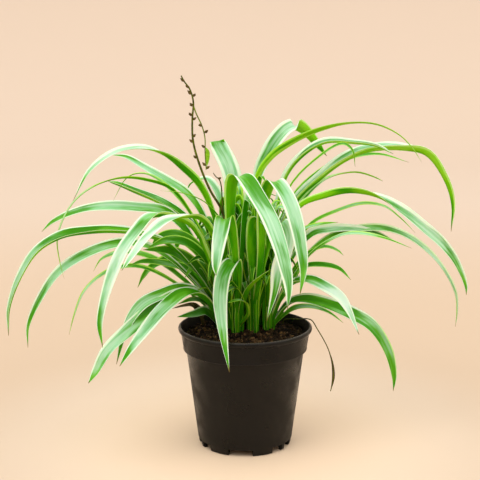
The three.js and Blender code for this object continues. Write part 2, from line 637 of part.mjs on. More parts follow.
function makeSoil() {
  const foot = FOOT_HEIGHT + FLOOR + FIT_GAP;
  const edge = innerRadius(SOIL_TOP) - FIT_GAP;
  const profile = [
    [0, foot],
    [innerRadius(WALL_FOOT + 1) - FIT_GAP, foot],
    [innerRadius(COLLAR_FOOT - 2) - FIT_GAP, COLLAR_FOOT - 2],
    [innerRadius(COLLAR_FOOT + 0.1) - FIT_GAP, COLLAR_FOOT + 1 + FIT_GAP],
    [edge, SOIL_TOP - 2],
    [edge * 0.75, SOIL_TOP],
    [edge * 0.4, SOIL_TOP],
    [0, SOIL_TOP],
  ];
  const geometry = turned(profile, POT_SIDES);
  const position = geometry.attributes.position;
  for (let i = 0; i < position.count; i += 1) {
    const [x, y, z] = [position.getX(i), position.getY(i), position.getZ(i)];
    if (z > SOIL_TOP - 1) position.setZ(i, z + soilBump(x, y));
  }
  let soil = toSolid(geometry);
  const drill = (radius, holeFoot, centre) => {
    soil = soil.subtract(toSolid(upright(radius, holeFoot, POT_HEIGHT, CROWN_SIDES, centre)));
  };
  for (const { crown } of Object.values(rosettes)) {
    drill(CROWN_RADIUS + HOLE_GAP, CROWN_FOOT - HOLE_GAP, crown);
  }
  drill(STALK_RADIUS + HOLE_GAP, STALK_FOOT - HOLE_GAP, STALK_ROOT);
  drill(SHORT_STALK_RADIUS + HOLE_GAP, STALK_FOOT - HOLE_GAP, SHORT_STALK_ROOT);
  for (const [across, depth, foot] of [DRY_RIGHT[0], DRY_LEFT[0]]) {
    drill(DRY_HOLE, foot - HOLE_GAP, [across, depth]);
  }
  return toMesh('soil', soil, SOIL_MIX);
}

const group = new THREE.Group();
group.add(makePot(), makeSoil());
for (const [name, rosette] of Object.entries(rosettes)) group.add(makeRosette(name, rosette));
group.add(makeFlowerStalk(), makeShortStalk());
group.add(makeDryLeaf('dead_leaf_right', DRY_RIGHT, DRY_RIGHT_WIDTH));
group.add(makeDryLeaf('dead_leaf_left', DRY_LEFT, DRY_LEFT_WIDTH));

export default group;
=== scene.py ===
# %% [markdown]
# # A spider plant in its nursery pot
# This lesson dresses a plain solid model of a potted spider plant. The solids give every size and place, and
# each step makes one thing of the real plant finer: the pot's plastic, the crumbs of its soil, the striped
# leaves and the budded flower stalk. The solids come in first, and they are never moved.

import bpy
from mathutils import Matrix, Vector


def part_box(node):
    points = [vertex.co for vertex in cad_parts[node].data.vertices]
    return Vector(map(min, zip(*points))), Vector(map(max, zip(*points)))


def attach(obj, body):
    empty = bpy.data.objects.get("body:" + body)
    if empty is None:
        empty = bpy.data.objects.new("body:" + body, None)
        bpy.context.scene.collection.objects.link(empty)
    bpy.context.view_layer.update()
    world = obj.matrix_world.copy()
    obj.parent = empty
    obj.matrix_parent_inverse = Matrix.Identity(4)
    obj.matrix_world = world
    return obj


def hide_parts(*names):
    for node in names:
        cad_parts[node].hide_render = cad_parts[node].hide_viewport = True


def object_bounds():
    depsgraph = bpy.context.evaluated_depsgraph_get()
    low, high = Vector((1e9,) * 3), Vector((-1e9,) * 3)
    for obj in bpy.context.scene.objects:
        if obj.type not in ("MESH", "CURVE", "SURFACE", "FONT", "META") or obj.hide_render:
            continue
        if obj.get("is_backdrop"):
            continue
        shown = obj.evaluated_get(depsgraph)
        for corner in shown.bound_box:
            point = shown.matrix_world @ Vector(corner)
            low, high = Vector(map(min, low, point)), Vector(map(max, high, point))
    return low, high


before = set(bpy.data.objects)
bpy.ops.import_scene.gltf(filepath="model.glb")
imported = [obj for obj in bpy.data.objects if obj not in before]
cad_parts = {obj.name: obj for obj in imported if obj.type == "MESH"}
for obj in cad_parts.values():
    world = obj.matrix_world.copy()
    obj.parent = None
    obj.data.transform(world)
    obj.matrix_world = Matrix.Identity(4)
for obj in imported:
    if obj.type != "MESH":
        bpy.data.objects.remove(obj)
cad_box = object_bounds()
print("nodes:", ", ".join(sorted(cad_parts)))

# %% [markdown]
# ## Units and tools
# The plant was measured in millimetres and Blender works in metres. So lengths below are millimetres, and they
# are turned into metres in one place, where a mesh is made. NumPy works out many points at once, and a seeded
# random source gives the same plant on each run.

# %% Set up the tools
import math
import random

import bmesh
import bpy
import numpy as np
from mathutils import Vector, noise

MM = 0.001
scene = bpy.context.scene
pot_low, pot_high = (np.array(corner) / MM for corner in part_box("pot"))
soil_low, soil_high = (np.array(corner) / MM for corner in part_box("soil"))
print("pot", np.round(pot_high - pot_low), "mm and soil", np.round(soil_high - soil_low), "mm")


def mix(low, high, share):
    return low + (high - low) * share


def ease(value, low, high):
    """0 at low and 1 at high, with a soft start and end."""
    share = np.clip((value - low) / (high - low), 0, 1)
    return share * share * (3 - 2 * share)


def new_object(name, data):
    made = bpy.data.objects.new(name, data)
    scene.collection.objects.link(made)
    return made


# %% [markdown]
# ## The camera
# A picture fixes how far away its eye was: the rim of the pot shows as an ellipse, and how open that ellipse
# is tells how far the eye looks down on it. Here the eye is a little over a metre away, above the plant's
# middle, and the long lens keeps the leaves from looking stretched.

# %% Place the camera
EYE_ACROSS = -5
EYE_DISTANCE = 1100
EYE_HEIGHT = 420
LENS = 87.75
SENSOR = 36
PITCH = 11.2

camera_data = bpy.data.cameras.new("eye")
camera_data.lens = LENS
camera_data.sensor_width = SENSOR
camera = new_object("eye", camera_data)
camera.location = Vector((EYE_ACROSS, -EYE_DISTANCE, EYE_HEIGHT)) * MM
camera.rotation_euler = (math.radians(90 - PITCH), 0, 0)
scene.camera = camera
print(f"camera {EYE_DISTANCE} mm in front, {EYE_HEIGHT} mm up, {PITCH} degrees down")

# %% [markdown]
# ## Building materials in code
# A Blender material is a small network of nodes. It could be wired by hand in the shader editor, but in code
# the same wiring can be used again for each finish. These helpers feed a node with values or with other nodes'
# outputs, blend two colours, fade a value between two limits and do a sum. An output knows the tree of nodes
# that it belongs to, as its id_data, so most helpers needn't be told where to add their node.

# %% Helpers for shader nodes


def feed(tree, node, inputs):
    """Fills a node's inputs. Each is a value, or another node's output to link."""
    for key, value in inputs.items():
        if isinstance(value, bpy.types.NodeSocket):
            tree.links.new(value, node.inputs[key])
        else:
            node.inputs[key].default_value = value
    return node.outputs


def add(tree, kind, inputs, **settings):
    """Adds a shader node, fills its inputs and gives its outputs."""
    made = tree.nodes.new("ShaderNode" + kind)
    for name, value in settings.items():
        setattr(made, name, value)
    return feed(tree, made, inputs)


def blend(share, first, second):
    """The first colour at share 0 and the second at 1."""
    colours = [value if isinstance(value, bpy.types.NodeSocket) else (*value, 1) for value in (first, second)]
    return add(share.id_data, "Mix", {0: share, 6: colours[0], 7: colours[1]}, data_type="RGBA")[2]


def fade(value, low, high):
    """0 where the value is at low and 1 where it is at high."""
    inputs = {"Value": value, "From Min": low, "From Max": high}
    return add(value.id_data, "MapRange", inputs, interpolation_type="SMOOTHSTEP")[0]


def sums(operation, first, second):
    output = first if isinstance(first, bpy.types.NodeSocket) else second
    return add(output.id_data, "Math", {0: first, 1: second}, operation=operation)[0]


def times(first, second):
    return sums("MULTIPLY", first, second)


def bump(height, strength, depth):
    """Dents and ridges that are too fine for the mesh, up to a depth in millimetres."""
    inputs = {"Height": height, "Strength": strength, "Distance": depth * MM}
    return add(height.id_data, "Bump", inputs)[0]


print("node helpers ready")

# %% Helpers for groups and materials


def new_group(name, takes, gives):
    """A shader node group of numbers. Takes names the inputs with their usual values, gives the outputs."""
    group = bpy.data.node_groups.new(name, "ShaderNodeTree")
    for socket, value in takes.items():
        made = group.interface.new_socket(name=socket, in_out="INPUT", socket_type="NodeSocketFloat")
        made.default_value = value
    for socket in gives:
        group.interface.new_socket(name=socket, in_out="OUTPUT", socket_type="NodeSocketFloat")
    return group, group.nodes.new("NodeGroupInput").outputs, group.nodes.new("NodeGroupOutput").inputs


def use_group(tree, group, inputs):
    return add(tree, "Group", inputs, node_tree=group)


def new_material(name):
    """An empty material with a Principled shader. Gives the material, its tree and the shader."""
    material = bpy.data.materials.new(name)
    material.use_nodes = True
    tree = material.node_tree
    tree.nodes.clear()
    shader = tree.nodes.new("ShaderNodeBsdfPrincipled")
    output = tree.nodes.new("ShaderNodeOutputMaterial")
    tree.links.new(shader.outputs[0], output.inputs[0])
    return material, tree, shader


print("group and material helpers ready")

# %% [markdown]
# ## Mottle
# No real surface has one even colour. "Mottle" is a soft cloud of lighter and darker patches with a finer
# speckle inside it, and plastic, soil, stalks and dry leaves all use it at their own sizes. A painted picture
# could show the same, but noise has no seams and stays sharp however close the eye comes.

# %% Group: mottle
CLOUD_EDGES = (0.35, 0.65)

mottle, given, gives = new_group("mottle", {"Patch Size": 10.0, "Speck Size": 1.0}, ("Patches", "Specks"))
place = add(mottle, "TexCoord", {})["Object"]
for output, size, detail in (("Patches", "Patch Size", 3), ("Specks", "Speck Size", 2)):
    scale = sums("DIVIDE", 1 / MM, given[size])
    cloud = add(mottle, "TexNoise", {"Vector": place, "Scale": scale, "Detail": detail})[0]
    mottle.links.new(fade(cloud, *CLOUD_EDGES), gives[output])
print("group", mottle.name, "with", len(mottle.nodes), "nodes")

# %% [markdown]
# ## Blade stripes
# A spider plant's leaf has pale margins, soft lengthwise streaks, fine veins and a dry point. The group also
# marks a darker root, which is partly the leaf's own green and partly painted shade where the leaves crowd, and
# a band between root and tip that the materials paint paler, as painted sheen. Stripes laid on by the direction
# in space would slide off where the leaf bends. So this group reads numbers that each leaf's mesh carries, and
# the stripes follow every bend. Its margins wander, and each leaf is paler on one side than on the other, by
# its own tone.

# %% Group: blade stripes
TONE_STEP = 60.0
SIDE_WIDTHS = (1.7, 0.4)
TONE_EVENS = 1.3
WANDER = 2.2
WANDER_LESS = 0.1
MARGIN_EDGES = (1.25, 0.75)
STREAK_EDGES = (0.40, 0.64)
PATCH_EDGES = (0.36, 0.64)
# The root's darker green is partly the leaf's own colour and partly painted shade, where the leaves crowd.
GREEN_AND_SHADED_ROOT = (90.0, 10.0)
# The band between root and tip is where the materials paint the leaf paler, as painted sheen.
LIT_BAND_FROM = (0.34, 0.64)
LIT_BAND_UNTIL = (0.98, 0.74)
DRY_POINT = (0.96, 1.0)

stripes, given, gives = new_group(
    "blade_stripes",
    {"Across": 0.0, "Along": 0.0, "From Edge": 0.5, "Share": 0.5, "Tone": 0.5, "Margin Share": 0.2},
    ("Margin", "Streaks", "Veins", "Root", "Lit Band", "Tip", "Clouds"),
)


def blade_noise(across, along, detail):
    """Noise stretched along the blade. Each leaf's tone picks another part of it."""
    scales = {"Across": across, "Along": along, "Tone": TONE_STEP}
    inputs = {axis: times(given[name], scale) for axis, (name, scale) in enumerate(scales.items())}
    where = add(stripes, "CombineXYZ", inputs)[0]
    return add(stripes, "TexNoise", {"Vector": where, "Scale": 1.0, "Detail": detail})[0]


by_tone = times(given["Tone"], TONE_EVENS)
uneven = add(stripes, "Mix", {
    0: fade(given["Across"], -1.0, 1.0),
    2: sums("SUBTRACT", SIDE_WIDTHS[0], by_tone),
    3: sums("ADD", SIDE_WIDTHS[1], by_tone),
})[0]
wander = times(blade_noise(across=0.15, along=0.02, detail=1), WANDER)
wander = sums("SUBTRACT", wander, WANDER_LESS)
margin = times(times(given["Margin Share"], wander), uneven)
inner, outer = (times(margin, share) for share in MARGIN_EDGES)
past_root, before_tip = (fade(given["Share"], *limits) for limits in (LIT_BAND_FROM, LIT_BAND_UNTIL))
for mark, value in {
    "Margin": fade(given["From Edge"], inner, outer),
    "Streaks": fade(blade_noise(across=0.42, along=0.008, detail=4), *STREAK_EDGES),
    "Veins": blade_noise(across=2.2, along=0.004, detail=1),
    "Root": fade(given["Along"], *GREEN_AND_SHADED_ROOT),
    "Lit Band": times(past_root, before_tip),
    "Tip": fade(given["Share"], *DRY_POINT),
    "Clouds": fade(blade_noise(across=0.10, along=0.024, detail=2), *PATCH_EDGES),
}.items():
    stripes.links.new(value, gives[mark])
print("group", stripes.name, "with", len(stripes.nodes), "nodes")

# %% [markdown]
# ## The leaf's two sides
# A spider plant's leaf has a cool, slightly glossy upper side, and an underside that glows yellow-green where
# light comes through. A material can ask which side of a face it is on, but a leaf with some thickness shows
# only outer sides. So each leaf gets two materials from one function, and the mesh says which face wears
# which. The light that passes through is subsurface scattering, kept to a millimetre or less. The paleness of a
# place is painted light: mint and near white sheen on the upper side, a brighter lime on the underside. It
# comes
# from three things: the leaf's painted light, the clouds, and how far along the leaf it lies. Painted light
# below zero paints the leaf darker as shade instead.

# %% Leaf materials
DEEP_GREEN = (0.014, 0.125, 0.001)
DRY_TIP = (0.20, 0.13, 0.035)
NARROW_MARGIN = 1.9
PALE_MARGIN_ADDS = 4.4
MARGIN_GROWS = (-0.2, 1.2)
WHITE_IF_BROAD = (6.5, 12.0)
WHITE_IF_LIT = (-0.45, -0.05)
LIT_BAND_ADDS = 1.1
LIT_PALE_EDGES = (1.15, 2.3)
LIT_STREAK_EDGES = (0.75, 2.15)
MOST_LIT_EDGES = (2.1, 3.2)
NEVER_FULLY = 0.9
ROOT_GREEN_AND_SHADE = (0.5, 0.4)
GLOW_SPREAD = (0.5, 1.0, 0.1)
GLOW_DEPTH = 0.8


def leaf_material(
        name, middle, bright, pale, most_lit, streak, rim, margin, margin_share, roughness, gloss, glow):
    """Light is painted light and shade: -1 paints a leaf of the heart dark, 1 a pale sheen and more a near
    white highlight.
    """
    material, tree, shader = new_material(name)
    blade_data, leaf_data, breadth = (
        add(tree, "Attribute", {}, attribute_name=key)[kind]
        for key, kind in (("blade", "Vector"), ("leaf", "Vector"), ("breadth", "Fac"))
    )
    across, along, from_edge = add(tree, "SeparateXYZ", {0: blade_data})
    share, tone, light = add(tree, "SeparateXYZ", {0: leaf_data})
    # The margin is drawn wider where the painted light is higher.
    margin_width = sums("ADD", times(fade(light, *MARGIN_GROWS), PALE_MARGIN_ADDS), NARROW_MARGIN)
    margin_width = times(margin_width, margin_share)
    marks = use_group(tree, stripes, {
        "Across": across,
        "Along": along,
        "From Edge": from_edge,
        "Share": share,
        "Tone": tone,
        "Margin Share": sums("DIVIDE", margin_width, breadth),
    })
    # Painted light: the band between root and tip, the clouds and the leaf's own painted light make a place
    # paler.
    lighter = times(marks["Lit Band"], LIT_BAND_ADDS)
    painted_light_level = sums("ADD", light, sums("ADD", marks["Clouds"], lighter))
    streaked = times(fade(painted_light_level, *LIT_STREAK_EDGES), NEVER_FULLY)
    green = blend(marks["Clouds"], middle, bright)
    # Pale, streaked and brightest colours paint sheen; the root's darker green is partly its own colour and
    # partly painted shade, and light below zero paints the whole leaf darker as shade.
    for amount, colour in (
        (times(fade(painted_light_level, *LIT_PALE_EDGES), NEVER_FULLY), pale),
        (times(marks["Streaks"], streaked), streak),
        (fade(painted_light_level, *MOST_LIT_EDGES), most_lit),
        (times(marks["Root"], ROOT_GREEN_AND_SHADE[0]), DEEP_GREEN),
        (fade(light, 0.0, -1.0), DEEP_GREEN),
    ):
        green = blend(amount, green, colour)
    # Where painted shade darkens a leaf, its margin gets the lime rim instead of white, and the root paints the
    # margin darker as shade too.
    white = times(fade(breadth, *WHITE_IF_BROAD), fade(light, *WHITE_IF_LIT))
    edge = blend(white, rim, margin)
    edge = blend(times(marks["Root"], ROOT_GREEN_AND_SHADE[1]), edge, DEEP_GREEN)
    striped = blend(marks["Margin"], green, edge)
    feed(tree, shader, {
        "Base Color": blend(marks["Tip"], striped, DRY_TIP),
        "Roughness": fade(marks["Veins"], *roughness),
        "Normal": bump(marks["Veins"], strength=0.5, depth=0.25),
        "Specular IOR Level": gloss,
        "Subsurface Weight": glow,
        "Subsurface Radius": GLOW_SPREAD,
        "Subsurface Scale": GLOW_DEPTH * MM,
    })
    return material


# A leaf is painted pale, as sheen on top and as light coming through underneath, between these levels.
print("a leaf turns pale between", *LIT_PALE_EDGES)

# %% Upper side and underside
# The pale colours and the brightest ones are painted light: mint and near white sheen on top, lime underneath.
leaf_upper = leaf_material(
    "leaf_upper", middle=(0.052, 0.285, 0.002), bright=(0.155, 0.50, 0.018), pale=(0.25, 0.56, 0.28),
    most_lit=(0.60, 0.78, 0.64), streak=(0.43, 0.68, 0.45), rim=(0.36, 0.67, 0.06), margin=(0.74, 0.87, 0.68),
    margin_share=1.0, roughness=(-1.0, 3.0), gloss=0.12, glow=0.12)
leaf_under = leaf_material(
    "leaf_under", middle=(0.040, 0.31, 0.001), bright=(0.10, 0.43, 0.001), pale=(0.25, 0.61, 0.008),
    most_lit=(0.36, 0.70, 0.05), streak=(0.20, 0.55, 0.006), rim=(0.38, 0.71, 0.035), margin=(0.48, 0.76, 0.17),
    margin_share=0.7, roughness=(-2.2, 2.6), gloss=0.04, glow=0.35)
print("materials", leaf_upper.name, leaf_under.name)

# %% [markdown]
# ## Plastic
# The pot is thin black polypropylene with a fine moulded grain and a little dust on what faces up. The dust is
# laid on strongly, so that it is also a painted highlight along the lip's top edge. Black paint on a smooth
# shape would look like a hole in the picture, so the black has two tones, the speckle dents the surface, and
# the
# Geometry node's normal tells where the dust and the painted highlight lie.

# %% Pot material
PLASTIC_BLACKS = ((0.0042, 0.0038, 0.0029), (0.0066, 0.0058, 0.0044))
# Dust and painted highlight: faces that look up, most of all the lip's top, get this lighter colour.
DUST_AND_HIGHLIGHT = (0.14, 0.115, 0.09)
DUST_AND_HIGHLIGHT_LIES = (0.35, 1.0)
DUST_AND_HIGHLIGHT_SHARE = 0.5

plastic, tree, shader = new_material("pot_plastic")
marks = use_group(tree, mottle, {"Patch Size": 22.0, "Speck Size": 0.7})
facing_up = add(tree, "SeparateXYZ", {0: add(tree, "NewGeometry", {})["Normal"]})[2]
dust_and_highlight = times(times(fade(facing_up, *DUST_AND_HIGHLIGHT_LIES), marks["Specks"]), DUST_AND_HIGHLIGHT_SHARE)
feed(tree, shader, {
    "Base Color": blend(dust_and_highlight, blend(marks["Patches"], *PLASTIC_BLACKS), DUST_AND_HIGHLIGHT),
    "Roughness": fade(marks["Patches"], -1.6, 3.2),
    "Normal": bump(marks["Specks"], strength=0.25, depth=0.08),
    "Specular IOR Level": 0.2,
})
print("material", plastic.name)

# %% [markdown]
# ## Soil, stalk and dry leaf
# Soil is a dark mix in which every crumb has another brown, so its material reads a tone from the mesh. The
# flower stalk is olive with brown joints, and the dead leaves are nearly black where they are damp and tan
# where they have dried. These are all dull and mottled, so one function makes each family.

# %% Soil materials


def crumb_material(name, dark, light, pale, roughness):
    """Each crumb's own tone picks its brown, and the mottle varies it again inside the crumb."""
    material, tree, shader = new_material(name)
    marks = use_group(tree, mottle, {"Patch Size": 6.0, "Speck Size": 0.6})
    tone = add(tree, "Attribute", {}, attribute_name="tone")["Fac"]
    brown = blend(times(tone, marks["Patches"]), dark, light)
    flecks = times(fade(tone, 0.7, 1.0), marks["Specks"])
    feed(tree, shader, {
        "Base Color": blend(flecks, brown, pale),
        "Roughness": roughness,
        "Normal": bump(marks["Specks"], strength=0.8, depth=0.5),
        "Specular IOR Level": 0.15,
    })
    return material


soil_mix = crumb_material("soil_mix", (0.005, 0.0028, 0.001), (0.080, 0.038, 0.013), (0.24, 0.13, 0.05), 0.95)
fibre = crumb_material("soil_fibre", (0.06, 0.036, 0.014), (0.20, 0.13, 0.05), (0.32, 0.23, 0.11), 0.85)
print("materials", soil_mix.name, fibre.name)

# %% Stalk, bud and dry leaf materials
SPECK_SHARE = 0.45


def plant_material(name, dark, light, speck, roughness, patch_size=5.0):
    """A dull skin from dark to light patches, with specks of a third colour."""
    material, tree, shader = new_material(name)
    marks = use_group(tree, mottle, {"Patch Size": patch_size, "Speck Size": 0.8})
    patches = blend(marks["Patches"], dark, light)
    feed(tree, shader, {
        "Base Color": blend(times(marks["Specks"], SPECK_SHARE), patches, speck),
        "Roughness": roughness,
        "Normal": bump(marks["Specks"], strength=0.5, depth=0.2),
        "Specular IOR Level": 0.15,
    })
    return material


stalk_olive = plant_material(
    "stalk_olive", (0.042, 0.056, 0.002), (0.14, 0.17, 0.006), (0.055, 0.032, 0.006), 0.5)
branch_green = plant_material(
    "branch_green", (0.11, 0.17, 0.008), (0.22, 0.32, 0.015), (0.12, 0.09, 0.015), 0.5)
bract_green = plant_material(
    "bract_green", (0.16, 0.42, 0.004), (0.30, 0.60, 0.012), (0.40, 0.66, 0.06), 0.5)
bud_brown = plant_material(
    "bud_brown", (0.048, 0.026, 0.006), (0.12, 0.068, 0.018), (0.20, 0.16, 0.045), 0.7, 2.0)
dry_leaf = plant_material(
    "dry_leaf", (0.018, 0.012, 0.005), (0.075, 0.050, 0.016), (0.20, 0.14, 0.05), 0.8, 9.0)
print("materials", stalk_olive.name, branch_green.name, bract_green.name, bud_brown.name, dry_leaf.name)

# %% [markdown]
# ## From points to pieces
# A piece could be modelled by hand, but points from numbers lie exactly where the solids do. Every piece ends
# in the same way: millimetre points become a mesh in metres, the mesh gets its materials, and the new object
# rides on the plant's one body, and the solids that it stands for are hidden. Numbers that a material reads,
# such as a leaf's stripes, are stored on the mesh as attributes.

# %% Helpers for pieces


def new_mesh(name, points, faces, materials=()):
    """A mesh object in metres from millimetre points."""
    mesh = bpy.data.meshes.new(name)
    mesh.from_pydata((np.asarray(points) * MM).tolist(), [], faces)
    for material in materials:
        mesh.materials.append(material)
    return new_object(name, mesh)


def make_piece(name, points, faces, materials, slot, stands_for=(), wears=None, data=None):
    """A piece of the plant. Wears gives each face's material and data the attributes."""
    piece = new_mesh(name, points, faces, materials)
    mesh = piece.data
    if wears is not None:
        mesh.polygons.foreach_set("material_index", np.asarray(wears, dtype=np.int32))
    for key, values in (data or {}).items():
        values = np.asarray(values, dtype=np.float32)
        kind = ("FLOAT_VECTOR", "vector") if values.ndim == 2 else ("FLOAT", "value")
        mesh.attributes.new(key, kind[0], "POINT").data.foreach_set(kind[1], values.ravel())
    mesh.shade_smooth()
    mesh.update()
    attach(piece, "root")
    if stands_for:
        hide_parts(*stands_for)
    print(f"{name}: {sum(len(face) - 2 for face in faces)} triangles")
    return piece


print("pieces go into", scene.collection.name)

# %% Helpers for points and faces


def join(parts):
    """Several sets of points and faces as one."""
    points, faces = [], []
    for more_points, more_faces in parts:
        faces += [tuple(i + len(points) for i in face) for face in more_faces]
        points += list(more_points)
    return points, faces


def grid_faces(rows, columns, first=0, closed=False):
    """The quads between the rows of a grid of points. A closed grid joins its last column to its first."""
    faces = []
    for row in range(rows - 1):
        for column in range(columns if closed else columns - 1):
            after = (column + 1) % columns
            low, high = first + row * columns, first + (row + 1) * columns
            faces.append((low + column, low + after, high + after, high + column))
    return faces


def circle(sides):
    return np.linspace(0, 2 * np.pi, sides, endpoint=False)


def turned(profile, sides):
    """Points of (radius, height) corners turned round the pot's axis, one ring after another."""
    return [(r * math.cos(a), r * math.sin(a), z) for r, z in profile for a in circle(sides)]


def turned_over(faces):
    return [tuple(reversed(face)) for face in faces]


def closed_faces(rows, sides):
    """The quads between rings of points, and a face at each end."""
    last = (rows - 1) * sides
    ends = [tuple(reversed(range(sides))), tuple(range(last, last + sides))]
    return grid_faces(rows, sides, closed=True) + ends


def lathe(profile, sides):
    return turned(profile, sides), closed_faces(len(profile), sides)


print("a grid of 3 by 3 points has", len(grid_faces(3, 3)), "faces")

# %% [markdown]
# ## The pot
# Nursery pots are moulded in one shot: a thin tapered wall, a stepped collar to grip, a rolled lip and a foot
# ring with notches that let water out. A profile turned round the axis gives the shell. The notches and drain
# holes are cut with a Boolean, which keeps their edges crisp, and a narrow Bevel rounds those edges as the
# mould did, so that they catch the light.

# %% Pot profile
LIP_RADIUS = pot_high[0] + 0.1
LIP_HALF = (1.8, 2.4)
POT_HEIGHT = pot_high[2]
POT_SIDES = 160
COLLAR_TOP = (62.6, 112.5)
COLLAR_FOOT = (60, 96.2)
WALL_TOP = (57.2, 93.8)
WALL_FOOT = (46.4, 8.2)
WALL = 1.8
FOOT = 6.6
FOOT_OUTER = 44.4
FOOT_INNER = 41
FLOOR_TOP = 8.6
FLOOR_HUB = 20

lip = [
    (LIP_RADIUS + LIP_HALF[0] * (math.cos(angle) - 1), POT_HEIGHT + LIP_HALF[1] * (math.sin(angle) - 1))
    for angle in np.radians(np.linspace(-75, 110, 9))
]
pot_profile = [
    (FLOOR_HUB, FOOT), (FOOT_INNER, FOOT), (FOOT_INNER, 0), (FOOT_OUTER - 0.6, 0), (FOOT_OUTER + 0.3, 0.7),
    (FOOT_OUTER + 0.7, 1.8), (WALL_FOOT[0] - 0.5, FOOT - 0.4), (WALL_FOOT[0] - 0.1, FOOT + 0.5), WALL_FOOT,
    WALL_TOP, (WALL_TOP[0] + 0.5, WALL_TOP[1] + 0.9), (COLLAR_FOOT[0] - 0.8, COLLAR_FOOT[1] - 1.1),
    (COLLAR_FOOT[0] + 0.1, COLLAR_FOOT[1] - 0.7), (COLLAR_FOOT[0] + 0.35, COLLAR_FOOT[1]),
    (COLLAR_FOOT[0] + 0.1, COLLAR_FOOT[1] + 0.9), COLLAR_TOP, *lip,
    (COLLAR_TOP[0] - WALL, COLLAR_TOP[1] - 0.5), (COLLAR_FOOT[0] - WALL, COLLAR_FOOT[1]),
    (WALL_TOP[0] - WALL, WALL_TOP[1] - 0.8), (WALL_FOOT[0] - WALL + 0.2, FLOOR_TOP + 1.2),
    (WALL_FOOT[0] - WALL - 1.2, FLOOR_TOP), (FLOOR_HUB, FLOOR_TOP),
]
pot = make_piece("pot_shell", *lathe(pot_profile, POT_SIDES), [plastic], "plastic", ["pot"])
print(len(pot_profile), "corners in the pot's profile")

# %% Notches and drain holes
FOOT_START = -5.8
FOOT_NOTCHES = ((-15.5, 15.5), (41.5, 57.5), (62.5, 78.5))
NOTCH_FROM, NOTCH_TO = 35, 60
DRAIN_CIRCLE = 31
DRAIN_RADIUS = 4


def bar(outline, low, high):
    """An upright bar from an outline of corners, for cutting."""
    return [(x, y, z) for z in (low, high) for x, y in outline], closed_faces(2, len(outline))


bars = []
for third in (0, 120, 240):
    for notch in FOOT_NOTCHES:
        start, end = (math.radians(FOOT_START + third + angle) for angle in notch)
        corners = ((NOTCH_FROM, start), (NOTCH_TO, start), (NOTCH_TO, end), (NOTCH_FROM, end))
        bars.append(bar([(r * math.sin(a), -r * math.cos(a)) for r, a in corners], -1, FOOT))
for hole in np.radians(range(0, 360, 60)):
    centre = DRAIN_CIRCLE * np.array((math.cos(hole), math.sin(hole)))
    ring = [DRAIN_RADIUS * np.array((math.cos(a), math.sin(a))) for a in np.radians(range(0, 360, 15))]
    bars.append(bar([centre + point for point in ring], FOOT - 1, FLOOR_TOP + 1))
print(len(bars), "bars to cut with")

# %% Cut and bevel the pot
EDGE_ROUNDING = 0.35
SHARP_FROM = 28

cutter = new_mesh("pot_cutter", *join(bars))
cut = pot.modifiers.new("cut", "BOOLEAN")
cut.object = cutter
round_edges = pot.modifiers.new("round_edges", "BEVEL")
round_edges.width = EDGE_ROUNDING * MM
round_edges.segments = 2
round_edges.limit_method = "ANGLE"
round_edges.angle_limit = math.radians(SHARP_FROM)
round_edges.harden_normals = True
evaluated = pot.evaluated_get(bpy.context.evaluated_depsgraph_get())
finished = bpy.data.meshes.new_from_object(evaluated)
pot.modifiers.clear()
pot.data = finished
bpy.data.objects.remove(cutter)
print("pot faces after cutting:", len(pot.data.polygons))

# %% [markdown]
# ## The soil
# Potting mix is peat and bark: a lumpy surface, loose crumbs of every size on it, and a few pale fibres. The
# surface could be a flat disc with bump in its material, but its lumps show against the pot's rim. So it is a
# round grid lifted by three layers of noise, lowest where it meets the pot.

# %% Soil surface
SOIL_TOP = 110
SOIL_BUMP = 1.2
SOIL_RADIUS = 60.3
SOIL_RINGS = 84
SOIL_SPOKES = 220
SOIL_GAP = WALL + 0.4
RIM_DROP = 1.8
SOIL_SIDES = ((COLLAR_FOOT[0] - SOIL_GAP, COLLAR_FOOT[1]), (WALL_TOP[0] - SOIL_GAP, WALL_TOP[1] - 1),
              (WALL_FOOT[0] - SOIL_GAP, FLOOR_TOP + 1.4), (WALL_FOOT[0] - SOIL_GAP - 1.2, FLOOR_TOP + 0.5))


def lumps(x, y, fineness, layer):
    """Soft noise from -1 to 1. Each layer is another pattern."""
    return noise.noise((x * fineness, y * fineness, layer))


def soil_height(x, y):
    """The long waves are the solid's own, and the noise lies over them."""
    wave = SOIL_BUMP * (math.sin(x * 0.31 + 1.1) * math.cos(y * 0.27) + 0.6 * math.sin(x * 0.12 - y * 0.45))
    clods = 1.1 * (lumps(x, y, 0.45, 9.0) + 0.5 * lumps(x, y, 1.1, 5.0))
    rim = RIM_DROP * float(ease(math.hypot(x, y), 40, SOIL_RADIUS))
    return SOIL_TOP - rim + wave + 1.3 * lumps(x, y, 0.16, 3.0) + clods


soil_rings = [(SOIL_RADIUS * max(ring / SOIL_RINGS, 0.004), 0) for ring in range(SOIL_RINGS + 1)]
soil_points = [(x, y, soil_height(x, y)) for x, y, _ in turned(soil_rings, SOIL_SPOKES)]
soil_points += turned(SOIL_SIDES, SOIL_SPOKES)
soil_faces = turned_over(closed_faces(len(soil_rings) + len(SOIL_SIDES), SOIL_SPOKES))
soil_tone = [0.5 + lumps(x, y, 0.5, 1.0) for x, y, _ in soil_points]
make_piece("soil_bed", soil_points, soil_faces, [soil_mix], "soil", ["soil"], data={"tone": soil_tone})

# %% [markdown]
# ## Crumbs
# The crumbs are small balls, each dented by noise of its own, stretched, spun and pressed a little into the
# surface. Scattering copies of one crumb would be quicker, but the eye soon finds the same shape again. Most
# are fine and few are large, because the random share is cubed.

# %% Crumbs
CRUMB_COUNT = 1500
CRUMB_SIZES = (0.5, 2.8)
CRUMB_STRETCH = (0.65, 1.35)
CRUMB_RISE = 0.25
FROM_RIM = 3.5
ROUND_ABOVE = 1.1
shake = random.Random(5)


